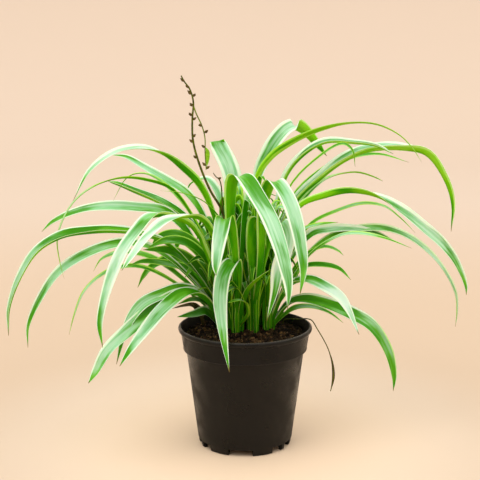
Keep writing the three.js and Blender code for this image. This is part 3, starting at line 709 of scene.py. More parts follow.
def ball(detail):
    """The points and faces of a small faceted ball."""
    shape = bmesh.new()
    bmesh.ops.create_icosphere(shape, subdivisions=detail, radius=1)
    points = np.array([vertex.co for vertex in shape.verts])
    faces = [tuple(vertex.index for vertex in face.verts) for face in shape.faces]
    shape.free()
    return points, faces


def soil_spot(reach):
    radius, angle = reach * math.sqrt(shake.random()), shake.uniform(0, 2 * math.pi)
    return radius * math.cos(angle), radius * math.sin(angle)


round_ball, plain_ball = ball(2), ball(1)
crumbs, crumb_tones = [], []
for count in range(CRUMB_COUNT):
    size = mix(*CRUMB_SIZES, shake.random() ** 3)
    shape, faces = round_ball if size > ROUND_ABOVE else plain_ball
    stretch = np.array([shake.uniform(*CRUMB_STRETCH) for _ in range(3)])
    dents = np.array([0.75 + 0.5 * noise.noise(Vector(point) * 1.6 + Vector((count, 0, 0))) for point in shape])
    turn = shake.uniform(0, math.pi)
    spun = np.array([[math.cos(turn), -math.sin(turn), 0], [math.sin(turn), math.cos(turn), 0], [0, 0, 1]])
    x, y = soil_spot(SOIL_RADIUS - FROM_RIM)
    centre = (x, y, soil_height(x, y) + CRUMB_RISE * size)
    crumbs.append(((shape * dents[:, None] * stretch * size) @ spun + centre, faces))
    crumb_tones += [shake.random()] * len(shape)
make_piece("soil_crumbs", *join(crumbs), [soil_mix], "soil", data={"tone": crumb_tones})

# %% [markdown]
# ## Tubes
# Fibres, stalks and branches are all thin round things that bend. A curve object with a bevel could draw them,
# but a mesh lets a tube taper and join other shapes in one piece. A tube is a ring of points carried along a
# smooth curve, each ring set square to it. The curve is the centripetal Catmull-Rom spline that the solids
# were made with: it passes through every given point and doesn't loop between close ones.

# %% Curves and tubes
NEVER_ALONG = (0.3, 1.0, 0.2)


def spline(points, shares):
    """Places and directions on the curve through the points, at shares from 0 to 1 of its steps."""
    points = np.asarray(points, float)
    padded = np.vstack([2 * points[0] - points[1], points, 2 * points[-1] - points[-2]])
    travel = np.asarray(shares) * (len(points) - 1)
    first = np.minimum(travel.astype(int), len(points) - 2)
    w = (travel - first)[:, None]
    p0, p1, p2, p3 = (padded[first + i] for i in range(4))
    d0, d1, d2 = (
        np.sqrt(np.linalg.norm(after - before, axis=1))[:, None]
        for before, after in ((p0, p1), (p1, p2), (p2, p3))
    )
    leave = ((p1 - p0) / d0 - (p2 - p0) / (d0 + d1) + (p2 - p1) / d1) * d1
    arrive = ((p2 - p1) / d1 - (p3 - p1) / (d1 + d2) + (p3 - p2) / d2) * d1
    square, cube = 3 * (p2 - p1) - 2 * leave - arrive, 2 * (p1 - p2) + leave + arrive
    places = p1 + leave * w + square * w**2 + cube * w**3
    directions = leave + 2 * square * w + 3 * cube * w**2
    return places, directions / np.linalg.norm(directions, axis=1)[:, None]


def tube(points, start_radius, end_radius, steps, sides):
    """A round tube with closed ends that narrows along its run."""
    shares = np.linspace(0, 1, steps + 1)
    places, directions = spline(points, shares)
    rows = []
    across = np.cross(directions[0], NEVER_ALONG)
    for place, direction, share in zip(places, directions, shares):
        across = across - direction * across.dot(direction)
        across /= np.linalg.norm(across)
        beside = np.cross(direction, across)
        radius = mix(start_radius, end_radius, share)
        for angle in circle(sides):
            rows.append(place + radius * (across * math.cos(angle) + beside * math.sin(angle)))
    return rows, closed_faces(steps + 1, sides)


sample = tube([(0, 0, 0), (0, 0, 10)], 1, 1, steps=2, sides=4)
print("a tube of 2 steps and 4 sides has", len(sample[1]), "faces")

# %% Fibres
FIBRE_COUNT = 70
FIBRE_RADIUS = 0.22
FIBRE_STEPS = 5

fibres, fibre_tones = [], []
for count in range(FIBRE_COUNT):
    x, y = soil_spot(SOIL_RADIUS - 9)
    heading, step = shake.uniform(0, 2 * math.pi), shake.uniform(5, 16) / FIBRE_STEPS
    run = []
    for _ in range(FIBRE_STEPS):
        heading += shake.uniform(-0.6, 0.6)
        run.append((x, y, soil_height(x, y) + shake.uniform(0.2, 0.9)))
        x, y = x + step * math.cos(heading), y + step * math.sin(heading)
    if math.hypot(x, y) < SOIL_RADIUS - 4:
        fibres.append(tube(run, FIBRE_RADIUS * shake.uniform(0.6, 1.6), 0.12, steps=10, sides=4))
        fibre_tones += [shake.random()] * len(fibres[-1][0])
make_piece("soil_fibres", *join(fibres), [fibre], "soil", data={"tone": fibre_tones})

# %% [markdown]
# ## One leaf
# A spider plant's leaf is a strap, folded along its keel where it leaves the crown and flatter further out.
# It is made as rings of points square to the leaf's run: nine across the upper side and nine across the lower
# one, a little thinner at the edges. Each point also remembers how far across and along the leaf it lies and
# how far it is from the margin, because the stripes need it. A flat strip with a picture on it would be
# lighter, but the fold and the thin edge are what catch the light here. Turn tips the upper side towards the
# viewer. A pair of turns twists the leaf between its rise and its fall, and two more numbers can say where
# along the run the twist starts and ends.

# %% The leaf's faces and the way they face
ACROSS = np.array([-1, -0.86, -0.6, -0.3, 0, 0.3, 0.6, 0.86, 1])
TURNED_BY = 0.3
TWISTS = (0.3, 0.7)


def blade_frame(run, shares, turn):
    """Places along the run, with the directions to the leaf's side and out of its upper face."""
    places, directions = spline(run, shares)
    heading = (run[-1] - run[0]) * (1, 1, 0)
    level = np.cross((0, 0, 1), heading / np.linalg.norm(heading))
    side = level - directions * (directions @ level)[:, None]
    side /= np.linalg.norm(side, axis=1)[:, None]
    face = np.cross(directions, side)
    rise_turn, fall_turn, *twist = turn if isinstance(turn, tuple) else (turn, turn)
    twisted = ease(shares, *(twist or TWISTS))
    roll = mix(rise_turn, fall_turn, twisted) * ease(shares, 0, TURNED_BY)
    roll = np.radians(roll if heading[0] > 0 else -roll)[:, None]
    return places, side * np.cos(roll) + face * np.sin(roll), face * np.cos(roll) - side * np.sin(roll)


def blade_faces(rows):
    """The faces of a leaf, and the side of each: 0 for upper, edge and end, 1 for lower."""
    columns = len(ACROSS)
    below, tip = rows * columns, (rows - 1) * columns
    faces = turned_over(grid_faces(rows, columns))
    for near in range(0, tip, columns):
        far = near + columns
        faces.append((near, below + near, below + far, far))
        near, far = near + columns - 1, far + columns - 1
        faces.append((near, far, below + far, below + near))
    faces.append(tuple(range(columns)) + tuple(reversed(range(below, below + columns))))
    faces.append(tuple(reversed(range(tip, below))) + tuple(range(below + tip, 2 * below)))
    lower_faces = grid_faces(rows, columns, first=below)
    return faces + lower_faces, [0] * len(faces) + [1] * len(lower_faces)


print("a ring has", 2 * len(ACROSS), "points")

# %% Leaf blades
RINGS_PER_STEP = 5
BLADE_THICKNESS = 0.5
THINNER_AT_EDGE = 0.6
THIN_IF_HALF_BELOW = 1.5
NARROWEST = 0.3
ROOT_SHARE = 0.3
SWELLS_BY = 0.5
NARROWS_FROM = 0.4
TIP_FULLNESS = 2.6
FOLD_AT_ROOT = 62
FOLD_AT_MIDDLE = 24
KEELED = 46
NEARLY_FLAT = 12
ARCHED = -8
FOLD_FADES_BY = 0.6
FLAT_BELOW = 9
FLAT_FOLD = 14
KEEL_SOFTNESS = 0.22
RIPPLE = 0.05
RIPPLE_RATE = 0.11
RIPPLE_SHIFT = 40
RIPPLES = (0.2, 0.5)


def rise_from_keel(across):
    """Like the distance from the keel, but softly rounded at the keel itself."""
    return np.hypot(across, KEEL_SOFTNESS) - KEEL_SOFTNESS


def blade(run, width, turn, tone=0.5, light=0.0, fold=FOLD_AT_MIDDLE):
    """Points, faces, sides and stripe data of one leaf.

    Light is the painted light and shade, one number or five: at the root, at each quarter of the run and at the
    tip.
    """
    run = np.asarray(run, float)
    rows = RINGS_PER_STEP * (len(run) - 1) + 1
    shares = np.linspace(0, 1, rows)
    places, side, face = blade_frame(run, shares, turn)
    along = np.concatenate([[0], np.cumsum(np.linalg.norm(np.diff(places, axis=0), axis=1))])

    swelling = mix(ROOT_SHARE, 1, ease(shares, 0, SWELLS_BY))
    narrowing = 1 - np.maximum(0, (shares - NARROWS_FROM) / (1 - NARROWS_FROM)) ** TIP_FULLNESS
    half = np.maximum(NARROWEST, width * swelling * narrowing) / 2
    folds = (FOLD_AT_ROOT, fold) if width > FLAT_BELOW else (FOLD_AT_MIDDLE, FLAT_FOLD)
    fold = np.radians(mix(*folds, ease(shares, 0, FOLD_FADES_BY)))
    lift = rise_from_keel(ACROSS) / rise_from_keel(1)
    rippled = np.sin(along * RIPPLE_RATE + RIPPLE_SHIFT * tone) * ease(shares, *RIPPLES)
    out = np.outer(half * np.cos(fold), ACROSS)
    up = half[:, None] * (np.sin(fold)[:, None] * (lift - 0.5) + RIPPLE * np.outer(rippled, ACROSS**3))
    upper = places[:, None] + out[:, :, None] * side[:, None] + up[:, :, None] * face[:, None]
    thinning = np.minimum(1, half / THIN_IF_HALF_BELOW) / np.cos(fold)
    thickness = BLADE_THICKNESS * np.outer(thinning, 1 - THINNER_AT_EDGE * ACROSS**2)
    lower = upper - thickness[:, :, None] * face[:, None]
    points = np.concatenate([upper, lower]).reshape(-1, 3)

    every = np.ones((rows, len(ACROSS)))
    light = np.interp(shares, np.linspace(0, 1, np.size(light)), np.atleast_1d(light))[:, None]
    stripe_data = np.stack([np.outer(half, ACROSS), along[:, None] * every, every - np.abs(ACROSS)], axis=2)
    leaf_data = np.stack([shares[:, None] * every, tone * every, light * every], axis=2)
    data = {
        "blade": np.tile(stripe_data.reshape(-1, 3), (2, 1)),
        "leaf": np.tile(leaf_data.reshape(-1, 3), (2, 1)),
        "breadth": np.full(len(points), width),
    }
    return points, *blade_faces(rows), data


print("a straight leaf has", len(blade([(0, 0, 0), (20, 0, 0)], 10, 0)[1]), "faces")

# %% [markdown]
# ## Where each leaf goes
# The leaves are read from the front, the way a painter would: each passes through a few places across and up,
# given where its sight line meets the upright plane through the pot's middle, and it grows towards a tip that
# lies some way in front of that plane or behind it. From these the leaf's run in space is worked out, with
# its root on the right side of its crown. Leaves grown by a rule alone would make a spider plant too, but not
# this one.

# %% Crowns
ROSETTES = {
    "left": {"crown": (-21, 13), "young": 2, "inner": (16, 115)},
    "front": {"crown": (-7, 7), "young": 5, "inner": (26, 150)},
    "front_right": {"crown": (8, 7), "young": 5, "inner": (26, 150)},
    "right": {"crown": (23, 13), "young": 3, "inner": (16, 115)},
    "back_left": {"crown": (-18, 31), "young": 1, "inner": (9, 125)},
    "back": {"crown": (2, 40), "young": 2, "inner": (22, 148)},
    "back_right": {"crown": (18, 31), "young": 2, "inner": (9, 125)},
}
rosettes = {name: {**plan, "leaves": []} for name, plan in ROSETTES.items()}


def leaf_count():
    return sum(len(rosette["leaves"]) for rosette in rosettes.values())


print(len(rosettes), "crowns:", ", ".join(rosettes))

# %% Leaf runs
LEAF_ROOT = 107
ROOT_RINGS = (3.3, -2.2)
ROOT_SPREAD = 1.2
PEAKS = (130, 280)
DEPTH_REACH = 120
RING_DEPTH_SHARE = 0.4
RISE_SHARE = 0.25
SHOULDER_OUT = 0.12
SHOULDER_UP = 0.3
paint = random.Random(7)


def seen(across, up, depth):
    """The point at a depth behind the middle plane on the sight line through that plane's (across, up)."""
    scale = (EYE_DISTANCE + depth) / EYE_DISTANCE
    return np.array((EYE_ACROSS + (across - EYE_ACROSS) * scale, depth, EYE_HEIGHT + (up - EYE_HEIGHT) * scale))


def root_place(crown, heading, peak, tip_depth):
    """Low leaves root at the crown's outer side and tall ones further in."""
    ring = mix(*ROOT_RINGS, float(ease(peak, *PEAKS)))
    nearer = min(1, max(-1, tip_depth / DEPTH_REACH))
    return np.array((
        crown[0] + ring * math.cos(heading),
        crown[1] + ring * math.sin(heading) * RING_DEPTH_SHARE + nearer * ROOT_SPREAD,
        LEAF_ROOT,
    ))


def leaf(rosette, tip_depth, width, turn, *path, light=0.0, fold=FOLD_AT_MIDDLE, tone=None):
    """One leaf: its tip's depth, greatest width, the turn of its face and the places that it passes."""
    drawn = paint.random()
    crown, leaves = rosettes[rosette]["crown"], rosettes[rosette]["leaves"]
    passed = np.abs(np.diff([(crown[0], LEAF_ROOT), *path], axis=0)) @ (1, RISE_SHARE)
    travel = np.cumsum(passed) / passed.sum()
    places = [seen(*point, mix(crown[1], tip_depth, gone)) for point, gone in zip(path, travel)]
    heading = math.atan2(places[-1][1] - crown[1], places[-1][0] - crown[0])
    root = root_place(crown, heading, max(up for _, up in path), tip_depth)
    shoulder = mix(root, places[0], SHOULDER_OUT)
    shoulder[2] = mix(root[2], places[0][2], SHOULDER_UP)
    leaves.append(([root, shoulder, *places], width, turn, drawn if tone is None else tone, light, fold))


print("the middle plane's (0, 100) seen 50 mm behind it:", seen(0, 100, 50).round(1))

# %% Leaves of the left crown
# Each leaf's light is painted light along its run: above zero a paler sheen, below zero a darker shade.
leaf("left", -65, 16, 22, (-72, 198), (-100, 209), (-123, 212), (-151, 211), (-177, 206), (-200, 192),
     (-217, 167), (-229.5, 134), (-230.5, 107), light=(0.3, 0.2, -0.15, 0.3, 0.3), fold=KEELED)
leaf("left", -20, 13, 45, (-66, 178), (-95, 197), (-118, 199.5), (-148, 191), (-179, 172), (-199, 144),
     (-211, 117), (-212, 95), light=0.25, tone=0.22)
leaf("left", 60, 7.5, 35, (-80, 180), (-105, 190), (-123, 190), (-139, 183), (-146.5, 171))
leaf("left", 30, 6, 35, (-75, 165), (-105, 177), (-132, 172), (-155, 153), (-166, 128), (-171.5, 108))
leaf("left", -112, 17, (-12, 12), (-50, 215), (-74, 226), (-89, 226), (-103, 212), (-119, 189), (-133, 154),
     (-141, 120), (-139, 95), light=(0.5, 0.5, 0.5, 1.2, -0.1), tone=0.88)
leaf("left", -130, 14, (-12, 12), (-30, 205), (-44, 224), (-60, 225.5), (-77, 221), (-93, 207), (-111, 184),
     (-119, 172), light=0.9)
leaf("left", -30, 13, 50, (-36, 180), (-55, 199), (-75, 202), (-93, 195), light=-0.4)
leaf("left", 20, 15.5, 50, (-44, 190), (-64, 206), (-81, 205), (-91, 194), light=-0.5)
leaf("left", -20, 17, 50, (-40, 165), (-56, 183), (-73, 192), (-98, 192.6), light=-0.5)
leaf("left", 10, 9, 50, (-40, 158), (-56, 174), (-73, 179), (-98, 181.5), (-112, 177), light=-0.4)
leaf("left", 40, 13, 50, (-50, 170), (-68, 183), (-82, 181), (-96, 170), (-104, 155), light=-0.4)
leaf("left", -70, 18, 30, (-45, 150), (-65, 148), (-92, 131), (-114, 112), (-134, 93), (-147, 70),
     (-154, 58.5), light=(0.4, 0.1, -0.3, 0.3, 0))
leaf("left", -45, 15, 35, (-40, 148), (-60, 155), (-79, 149), (-98, 140), (-110, 126), (-118, 108),
     (-126, 78), light=-0.05)
leaf("left", -110, 17, 15, (-42, 148), (-58, 150), (-79, 134), (-96, 114), (-111, 94), (-123, 76),
     light=(0.3, 0, -0.1, 0.95, 0.4))
leaf("left", -20, 8, 35, (-38, 140), (-50, 144), (-65, 139), light=-0.1)
leaf("left", 5, 11, 50, (-38, 132), (-50, 129), (-66, 126), light=-0.1)
print(leaf_count(), "leaves so far")

# %% Leaves of the two front crowns
leaf("front", -90, 17, 0, (-10, 190), (-16, 221), (-20, 224), (-23, 210), (-26, 193), (-28, 176), (-28, 167),
     light=(0.5, 0.3, -0.5, 1.0, 0.9), tone=0.72)
leaf("front", -90, 17, 0, (-6, 165), (-9, 181), (-14, 179), (-21, 167), (-24, 146), (-23, 125), (-20, 100),
     (-15.4, 70), light=(0.5, 0.3, 0.55, 0.25, 0.3), tone=0.8)
leaf("front", -130, 18, 0, (-10, 170), (-14, 225), (-11, 262), (-3, 264), (9, 248), (24, 221), (34, 193),
     (40, 168), (42, 151), (41, 134), light=(0.3, 0.2, 0.2, 0.35, 1.5),
     fold=NEARLY_FLAT, tone=0.14)
leaf("front", -30, 9, 0, (-2, 140), (4, 155), (15, 166), (27, 175))
leaf("front", -40, 5, 30, (3, 130), (1, 140), (-5, 143), (-12, 142), (-17, 140))
leaf("front", -25, 4, 0, (-20, 215), (-38, 239), (-60, 248), (-81, 250))
leaf("front", -5, 10, 0, (-9, 165), (-9, 200), (-5, 222), (2, 230), (8, 226))

leaf("front_right", -110, 17, 0, (15, 180), (18, 240), (27, 260), (37, 249), (47, 225), (54, 191), (56, 172),
     (53, 148), light=(0.5, 0.4, 0.45, 0.4, 0.2), fold=NEARLY_FLAT, tone=0.22)
leaf("front_right", -55, 18, 0, (20, 190), (27, 215), (33, 219), (39, 206), (37, 190), (31, 172), (28, 151),
     (21, 121.6), light=0.65, fold=NEARLY_FLAT)
leaf("front_right", -35, 14, 0, (8, 170), (7, 205), (9, 222), (14, 224), (20, 214))
leaf("front_right", -30, 7, 0, (12, 200), (12, 255), (15, 264), (20, 258))
print(leaf_count(), "leaves so far")

# %% Leaves of the right crown
leaf("right", 0, 15, (-55, 60), (40, 200), (51, 234), (76, 245), (100, 249.8), (125, 245.6), (149, 232),
     (172, 214), (190, 198), (203, 181), (213, 158), (214, 148), light=(0.9, 0.9, 0.6, 0.3, 0.1))
leaf("right", 30, 5, 30, (50, 200), (64, 219), (88, 231), (112, 238), (133, 235), (149, 223), (163, 209))
leaf("right", -10, 7, 30, (46, 198), (56, 213), (72, 218), (89, 219.5))
leaf("right", 45, 12, 40, (48, 190), (64, 209), (80, 213), (105, 213.5), (126, 209), (146, 200), light=0.5)
leaf("right", 65, 10, 45, (50, 175), (70, 198), (90, 209), (114, 214), (139, 212.6), (164, 201),
     (188, 178), (203.5, 150), (205.7, 130), (204.4, 116), light=(0, 0, 0.3, 0.5, 0.5))
leaf("right", -50, 8, 20, (46, 160), (59.5, 185), (76, 199), (93, 207.5), (110, 209), (134.5, 204),
     (160, 194))
leaf("right", 10, 5, 30, (55, 185), (76, 196), (89, 192), (94.5, 187))
leaf("right", -20, 7.5, 35, (44, 160), (56, 176), (76, 178), (91, 174), (102, 163), light=-0.3)
leaf("right", -50, 16, 20, (42, 158), (58, 163.5), (76.5, 156), (92, 145), (101, 131), (111, 108),
     light=(0.9, 0.8, 0.3, 1.9, 1.6))
leaf("right", -20, 17, 40, (42, 140), (56, 144), (77, 140), (102, 130), (123, 117), (139, 93), (146, 66),
     (145.7, 50.5), light=(0.5, 0.4, 0.1, -0.35, -0.1))
leaf("right", 15, 7, 30, (41, 131), (50, 136), (64, 136.6), (81, 131), (95.5, 120))
print(leaf_count(), "leaves so far")

# %% Leaves of the three back crowns
leaf("back_left", -60, 13, (-45, 22), (-30, 225), (-43, 255), (-59, 271.5), (-80, 287), (-100, 291.5),
     (-124, 287), (-148, 269), (-164, 240), light=0.6)
leaf("back_left", -20, 6, (-45, 0), (-45, 215), (-69, 251), (-92, 260), (-117, 262.4), (-142, 255.4),
     (-165, 237.6), (-180, 205), (-178, 178), (-174.5, 164))
leaf("back_left", 60, 13, 30, (-38, 220), (-55, 247), (-76, 261), (-96, 273), (-113, 282.5), (-128, 284.5),
     light=0.35)
leaf("back_left", 30, 7, (30, 0), (-50, 225), (-80, 259), (-97, 267), (-112, 263), (-126, 240))
leaf("back_left", 90, 15, 8, (-40, 200), (-60, 226), (-82, 240), (-105, 250), (-122, 257), (-130, 259),
     light=0.0, fold=KEELED)
leaf("back_left", 40, 15, 40, (-45, 190), (-60, 215), (-78, 230), (-105, 234), (-133, 235), (-159, 231),
     (-184, 220), (-195, 210), light=0.3)
leaf("back_left", 60, 12, 15, (-18, 190), (-22, 235), (-27, 250), (-37, 262), (-51, 258), (-56, 250), light=0.4)

leaf("back", 110, 21, 0, (-4, 190), (-10, 240), (-13.5, 269), (-24, 292), (-26.5, 297), (-23.5, 290),
     (-18, 252), light=(1.2, 1.4, 1.1, -0.3, 0), fold=ARCHED)
leaf("back", 90, 19, (35, -60, 0.66, 0.72), (5, 215), (12, 263), (20, 283), (31, 301), (40, 310), (48, 312.5),
     (57, 307), (69, 293), (77, 283), light=(0.9, 1.4, 1.0, 0.4, 0.4))
leaf("back", -20, 8, (-76, -14), (6, 215), (11, 262), (23.5, 282), (41, 295), (67, 307), (99, 314.4),
     (124, 313), (147, 302), (160, 288), (167, 277), light=1.1)

leaf("back_right", 20, 13, 20, (28, 225), (38, 265), (54, 285), (75, 297), (103, 296.4), (125, 293),
     (140, 285), light=0.7, fold=KEELED)
leaf("back_right", 40, 19, (14, -15, 0.55, 0.75), (34, 215), (49, 243), (67, 260.5), (92, 280), (116, 290),
     (149, 291.8), (172, 286), (191, 260), (198, 236), (197, 210), light=(0.9, 1.0, 0.8, 0.5, 0.5), fold=KEELED)
leaf("back_right", 50, 8.5, (30, -10), (45, 225), (62, 250), (79.5, 263), (104, 268), (123, 263), (131, 259),
     light=0.7)
leaf("back_right", 70, 7, 30, (40, 235), (70, 268), (100, 282), (127, 285), (155, 277))
leaf("back_right", 0, 5, 30, (40, 250), (70, 283), (92, 295), (101, 289), (104, 273))
print(leaf_count(), "leaves read from the front")

# %% [markdown]
# ## Leaves of the back and young leaves
# The leaves that the front doesn't show follow a rule instead: a fan of them arches away behind the plant,
# and young ones stand in each crown. A small random number source of its own gives the same numbers here as
# it gave when the solids were made, so these leaves lie exactly where theirs do.

# %% Rays from a crown


def seeded(state):
    """A plain random number source, the same one that the solids used."""
    def draw(low, high):
        nonlocal state
        state = (state * 1664525 + 1013904223) % 2**32
        return mix(low, high, state / 2**32)
    return draw


def rays(crown, reach, angle, *steps):
    """Points out from a crown at one angle: each step is a share of the reach and a height."""
    return [
        np.array((crown[0] + reach * s * math.cos(angle), crown[1] + reach * s * math.sin(angle), height))
        for s, height in steps
    ]


print("a ray's second point:", rays((0, 0), 10, 0, (0, LEAF_ROOT), (1, 2 * LEAF_ROOT))[1])

# %% Back and young leaves
BACK_FANS = {"back_left": (112, 124, 136), "back": (86, 98, 110), "back_right": (64, 78)}
BACK_REACHES = (105, 131)
BACK_CRESTS = (170, 225)
BACK_DROOPS = (15, 70)
BACK_WIDTHS = (9, 14)
# Painted light: the back leaves get a little painted sheen, and the young ones painted shade.
BACK_LIGHT = 0.2
BACK_RISE = ((0.12, 0.45), (0.34, 0.88), (0.58, 1))
BACK_FALL = ((0.82, 0.4), (1, 1))
YOUNG_RING = 3.8
YOUNG_RISES = (50, 115)
YOUNG_LEANS = (5, 7.2)
YOUNG_NARROWEST = 6.5
YOUNG_LIGHT = -0.3
YOUNG_STEPS = ((0.6, 0.35), (0.75, 0.7), (1, 1))

draw = seeded(8)
for name, fan in BACK_FANS.items():
    crown = rosettes[name]["crown"]
    for angle in np.radians(fan):
        reach = (draw(*BACK_REACHES) - crown[1]) / math.sin(angle)
        crest, droop = draw(*BACK_CRESTS), draw(*BACK_DROOPS)
        rise = [(share, mix(LEAF_ROOT, crest, up)) for share, up in BACK_RISE]
        fall = [(share, crest - droop * down) for share, down in BACK_FALL]
        run = [root_place(crown, angle, crest, DEPTH_REACH), *rays(crown, reach, angle, *rise, *fall)]
        shape = (run, draw(*BACK_WIDTHS), 0, paint.random(), BACK_LIGHT, FOLD_AT_MIDDLE)
        rosettes[name]["leaves"].append(shape)
for rosette in rosettes.values():
    for count in range(rosette["young"]):
        angle = 2 * math.pi * (count + draw(0, 0.5)) / rosette["young"]
        rise, lean = draw(*YOUNG_RISES), draw(*YOUNG_LEANS)
        steps = [(share, LEAF_ROOT + rise * up) for share, up in YOUNG_STEPS]
        run = rays(rosette["crown"], lean, angle, (YOUNG_RING / lean, LEAF_ROOT), *steps)
        shape = (run, draw(YOUNG_NARROWEST, FLAT_BELOW), 0, paint.random(), YOUNG_LIGHT, FOLD_AT_MIDDLE)
        rosette["leaves"].append(shape)
print(leaf_count(), "leaves with the back and young ones")

# %% [markdown]
# ## The inner blades
# A spider plant's middle is crowded with narrow blades that stand nearly upright, so that little light gets
# down between them. The solids hold only some of them. These extra ones are drawn at random in each crown and
# kept short enough to stay inside the clump. Most are painted darker than the leaves round them, as painted
# shade for the shade that falls on them in the clump.

# %% Inner blades
INNER_RING = (3, 6.5)
INNER_LEANS = (8, 27)
INNER_LOWEST = 46
INNER_BEND = 0.7
INNER_NODS = (0.02, 0.28)
INNER_TURN = 55
INNER_WIDTHS = (4.5, 11)
INNER_LIGHTS = (-0.75, 0.35)
INNER_START = ((1, -3, 0), (1.15, 0, 0.3))
INNER_END = ((0.62, 0.72, 0), (1, 1, 0.2), (1.35, 1, 0.3), (1.7, 1, 1))
grow = random.Random(21)

for rosette in rosettes.values():
    number, tallest = rosette["inner"]
    for count in range(number):
        angle = 2 * math.pi * (count + grow.random()) / number
        ring, lean = grow.uniform(*INNER_RING), grow.uniform(*INNER_LEANS)
        rise = grow.uniform(INNER_LOWEST, tallest)
        bend, nod = angle + grow.uniform(-INNER_BEND, INNER_BEND), rise * grow.uniform(*INNER_NODS)
        start = [(share, LEAF_ROOT + offset + up * rise) for share, offset, up in INNER_START]
        end = [(share, LEAF_ROOT + up * rise - down * nod) for share, up, down in INNER_END]
        run = rays(rosette["crown"], ring, angle, *start) + rays(rosette["crown"], lean, bend, *end)
        turn, width = grow.uniform(-INNER_TURN, INNER_TURN), grow.uniform(*INNER_WIDTHS)
        # Painted light: below zero the blade is painted darker as shade, above zero a little paler as sheen.
        light = grow.uniform(*INNER_LIGHTS)
        rosette["leaves"].append((run, width, turn, grow.random(), light, FOLD_AT_MIDDLE))
print(sum(rosette["inner"][0] for rosette in rosettes.values()), "inner blades")

# %% Build the rosettes
SHEATH = ((0.5, 100), (4.4, 101), (5.4, 106), (5, 112), (3.4, 118), (1, 122))
SHEATH_SIDES = 20
# Painted shade: the crown's heart is painted dark, where the leaves round it shade it.
SHEATH_LIGHT = -0.8


def sheath(crown):
    """The solid heart of a crown, where the leaves' bases wrap round each other."""
    points, faces = lathe(SHEATH, SHEATH_SIDES)
    plain = np.ones((len(points), 1))
    data = {"blade": plain * (0, 0, 1), "leaf": plain * (0, 0.5, SHEATH_LIGHT), "breadth": 100 * plain[:, 0]}
    return np.array(points) + (*crown, 0), faces, [0] * len(faces), data


for name, rosette in rosettes.items():
    parts = [sheath(rosette["crown"])]
    parts += [blade(*shape) for shape in rosette["leaves"]]
    sides = [side for part in parts for side in part[2]]
    data = {key: np.concatenate([part[3][key] for part in parts]) for key in parts[0][3]}
    shape = join(part[:2] for part in parts)
    make_piece(
        f"leaves_{name}", *shape, [leaf_upper, leaf_under], "leaf", [f"rosette_{name}"], wears=sides, data=data)

# %% [markdown]
# ## The flower stalks
# The tall stalk has long finished flowering. What stays is a wiry olive stem, a side branch that hangs from
# near its top, and brown buds at the joints. Each bud is a short foot with one large and two small pointed
# scales, and a narrow green leaf hangs where the branch ends. The short stalk beside it has withered. Stems
# are tubes here, and a scale is a small turned profile tipped outward, since both are round in section.

# %% Stalks
STALK_DEPTH = 26
STALK_FOOT = 98
STALK_PATH = ((-13, 180), (-22, 230), (-33.5, 250.6), (-44, 277), (-49.3, 298), (-49.8, 318), (-48.7, 334),
              (-52, 346), (-57, 353), (-60, 358.5))
BRANCH_PATH = ((-48.8, 331), (-46, 323), (-40.6, 311), (-38, 300), (-38, 287), (-37, 270))
SHORT_STALK_DEPTH = 18
SHORT_STALK_PATH = ((-15, 180), (-21.6, 237), (-23, 255.5), (-24.6, 260.5), (-28, 263.6), (-30.4, 267))


def seen_path(path, depth):
    return [seen(*point, depth) for point in path]


def standing(across, depth, path, path_depth):
    """A stalk's run: upright out of the soil, and on through the places seen from the front."""
    foot = [np.array((across, depth, height)) for height in (STALK_FOOT, SOIL_TOP + 4)]
    return foot + seen_path(path, path_depth)


main_stem = tube(standing(-3, 24, STALK_PATH, STALK_DEPTH), 1.5, 0.65, steps=90, sides=10)
branch = tube(seen_path(BRANCH_PATH, STALK_DEPTH), 0.75, 0.5, steps=40, sides=8)
short_stem = tube(standing(-9, 22, SHORT_STALK_PATH, SHORT_STALK_DEPTH), 0.95, 0.4, steps=60, sides=8)
print("stalk points:", sum(len(part[0]) for part in (main_stem, branch, short_stem)))

# %% Buds
BUDS = (
    (-45.6, 281, -1), (-49.2, 296, -1), (-49.8, 321, -1), (-48.8, 330, -1), (-50.4, 341, -1), (-49.7, 301, 1),
    (-49.7, 317, 1), (-49.6, 339, 1), (-52.4, 347, -1), (-57, 353, -1), (-38.3, 305, 1), (-38, 291, -1),
    (-40.6, 311, -1), (-37.4, 274, -1), (-37, 271, 1),
)
BUD_SCALES = ((5.2, 1.25, 0.5), (3.7, 0.9, 1.0), (3.0, 0.8, 0.15))
KNOT_LEANS = ((0.6, 0.4, 1), (-0.4, -0.6, 1), (0.1, 0.9, 1))
SCALE_PROFILE = ((0.2, 0), (0.75, 0.25), (1, 0.5), (0.6, 0.8), (0.06, 1))
SCALE_SIDES = 8
grow = random.Random(4)


def scale_leaf(base, lean, length, thickness):
    """A small pointed scale, like a grain of rice, that leans from the stalk. Lean is a direction."""
    points, faces = lathe([(r * thickness, z * length) for r, z in SCALE_PROFILE], SCALE_SIDES)
    spin = Vector(lean).to_track_quat("Z", "Y").to_matrix()
    return np.array(points) @ np.array(spin).T + base, faces


def bud(across, up, side):
    """Scales that spread to one side of the stalk: -1 for left and 1 for right."""
    base = seen(across, up, STALK_DEPTH)
    parts = []
    for length, thickness, spread in BUD_SCALES:
        lean = (side * (0.5 + spread) + grow.uniform(-0.2, 0.2), grow.uniform(-0.7, 0.7), 1.1 - 0.5 * spread)
        parts.append(scale_leaf(base, lean, length * grow.uniform(0.85, 1.15), thickness))
    return join(parts)


buds = join(bud(*place) for place in BUDS)
knot_place = seen(*SHORT_STALK_PATH[3], SHORT_STALK_DEPTH)
knot = join(scale_leaf(knot_place, lean, 3.2, 0.9) for lean in KNOT_LEANS)
print(len(BUDS), "buds with", len(buds[1]), "faces")

# %% The small leaf and the finished stalks
BRACT_PATH = ((-38, 292), (-36, 288), (-35.6, 281), (-36.4, 273))


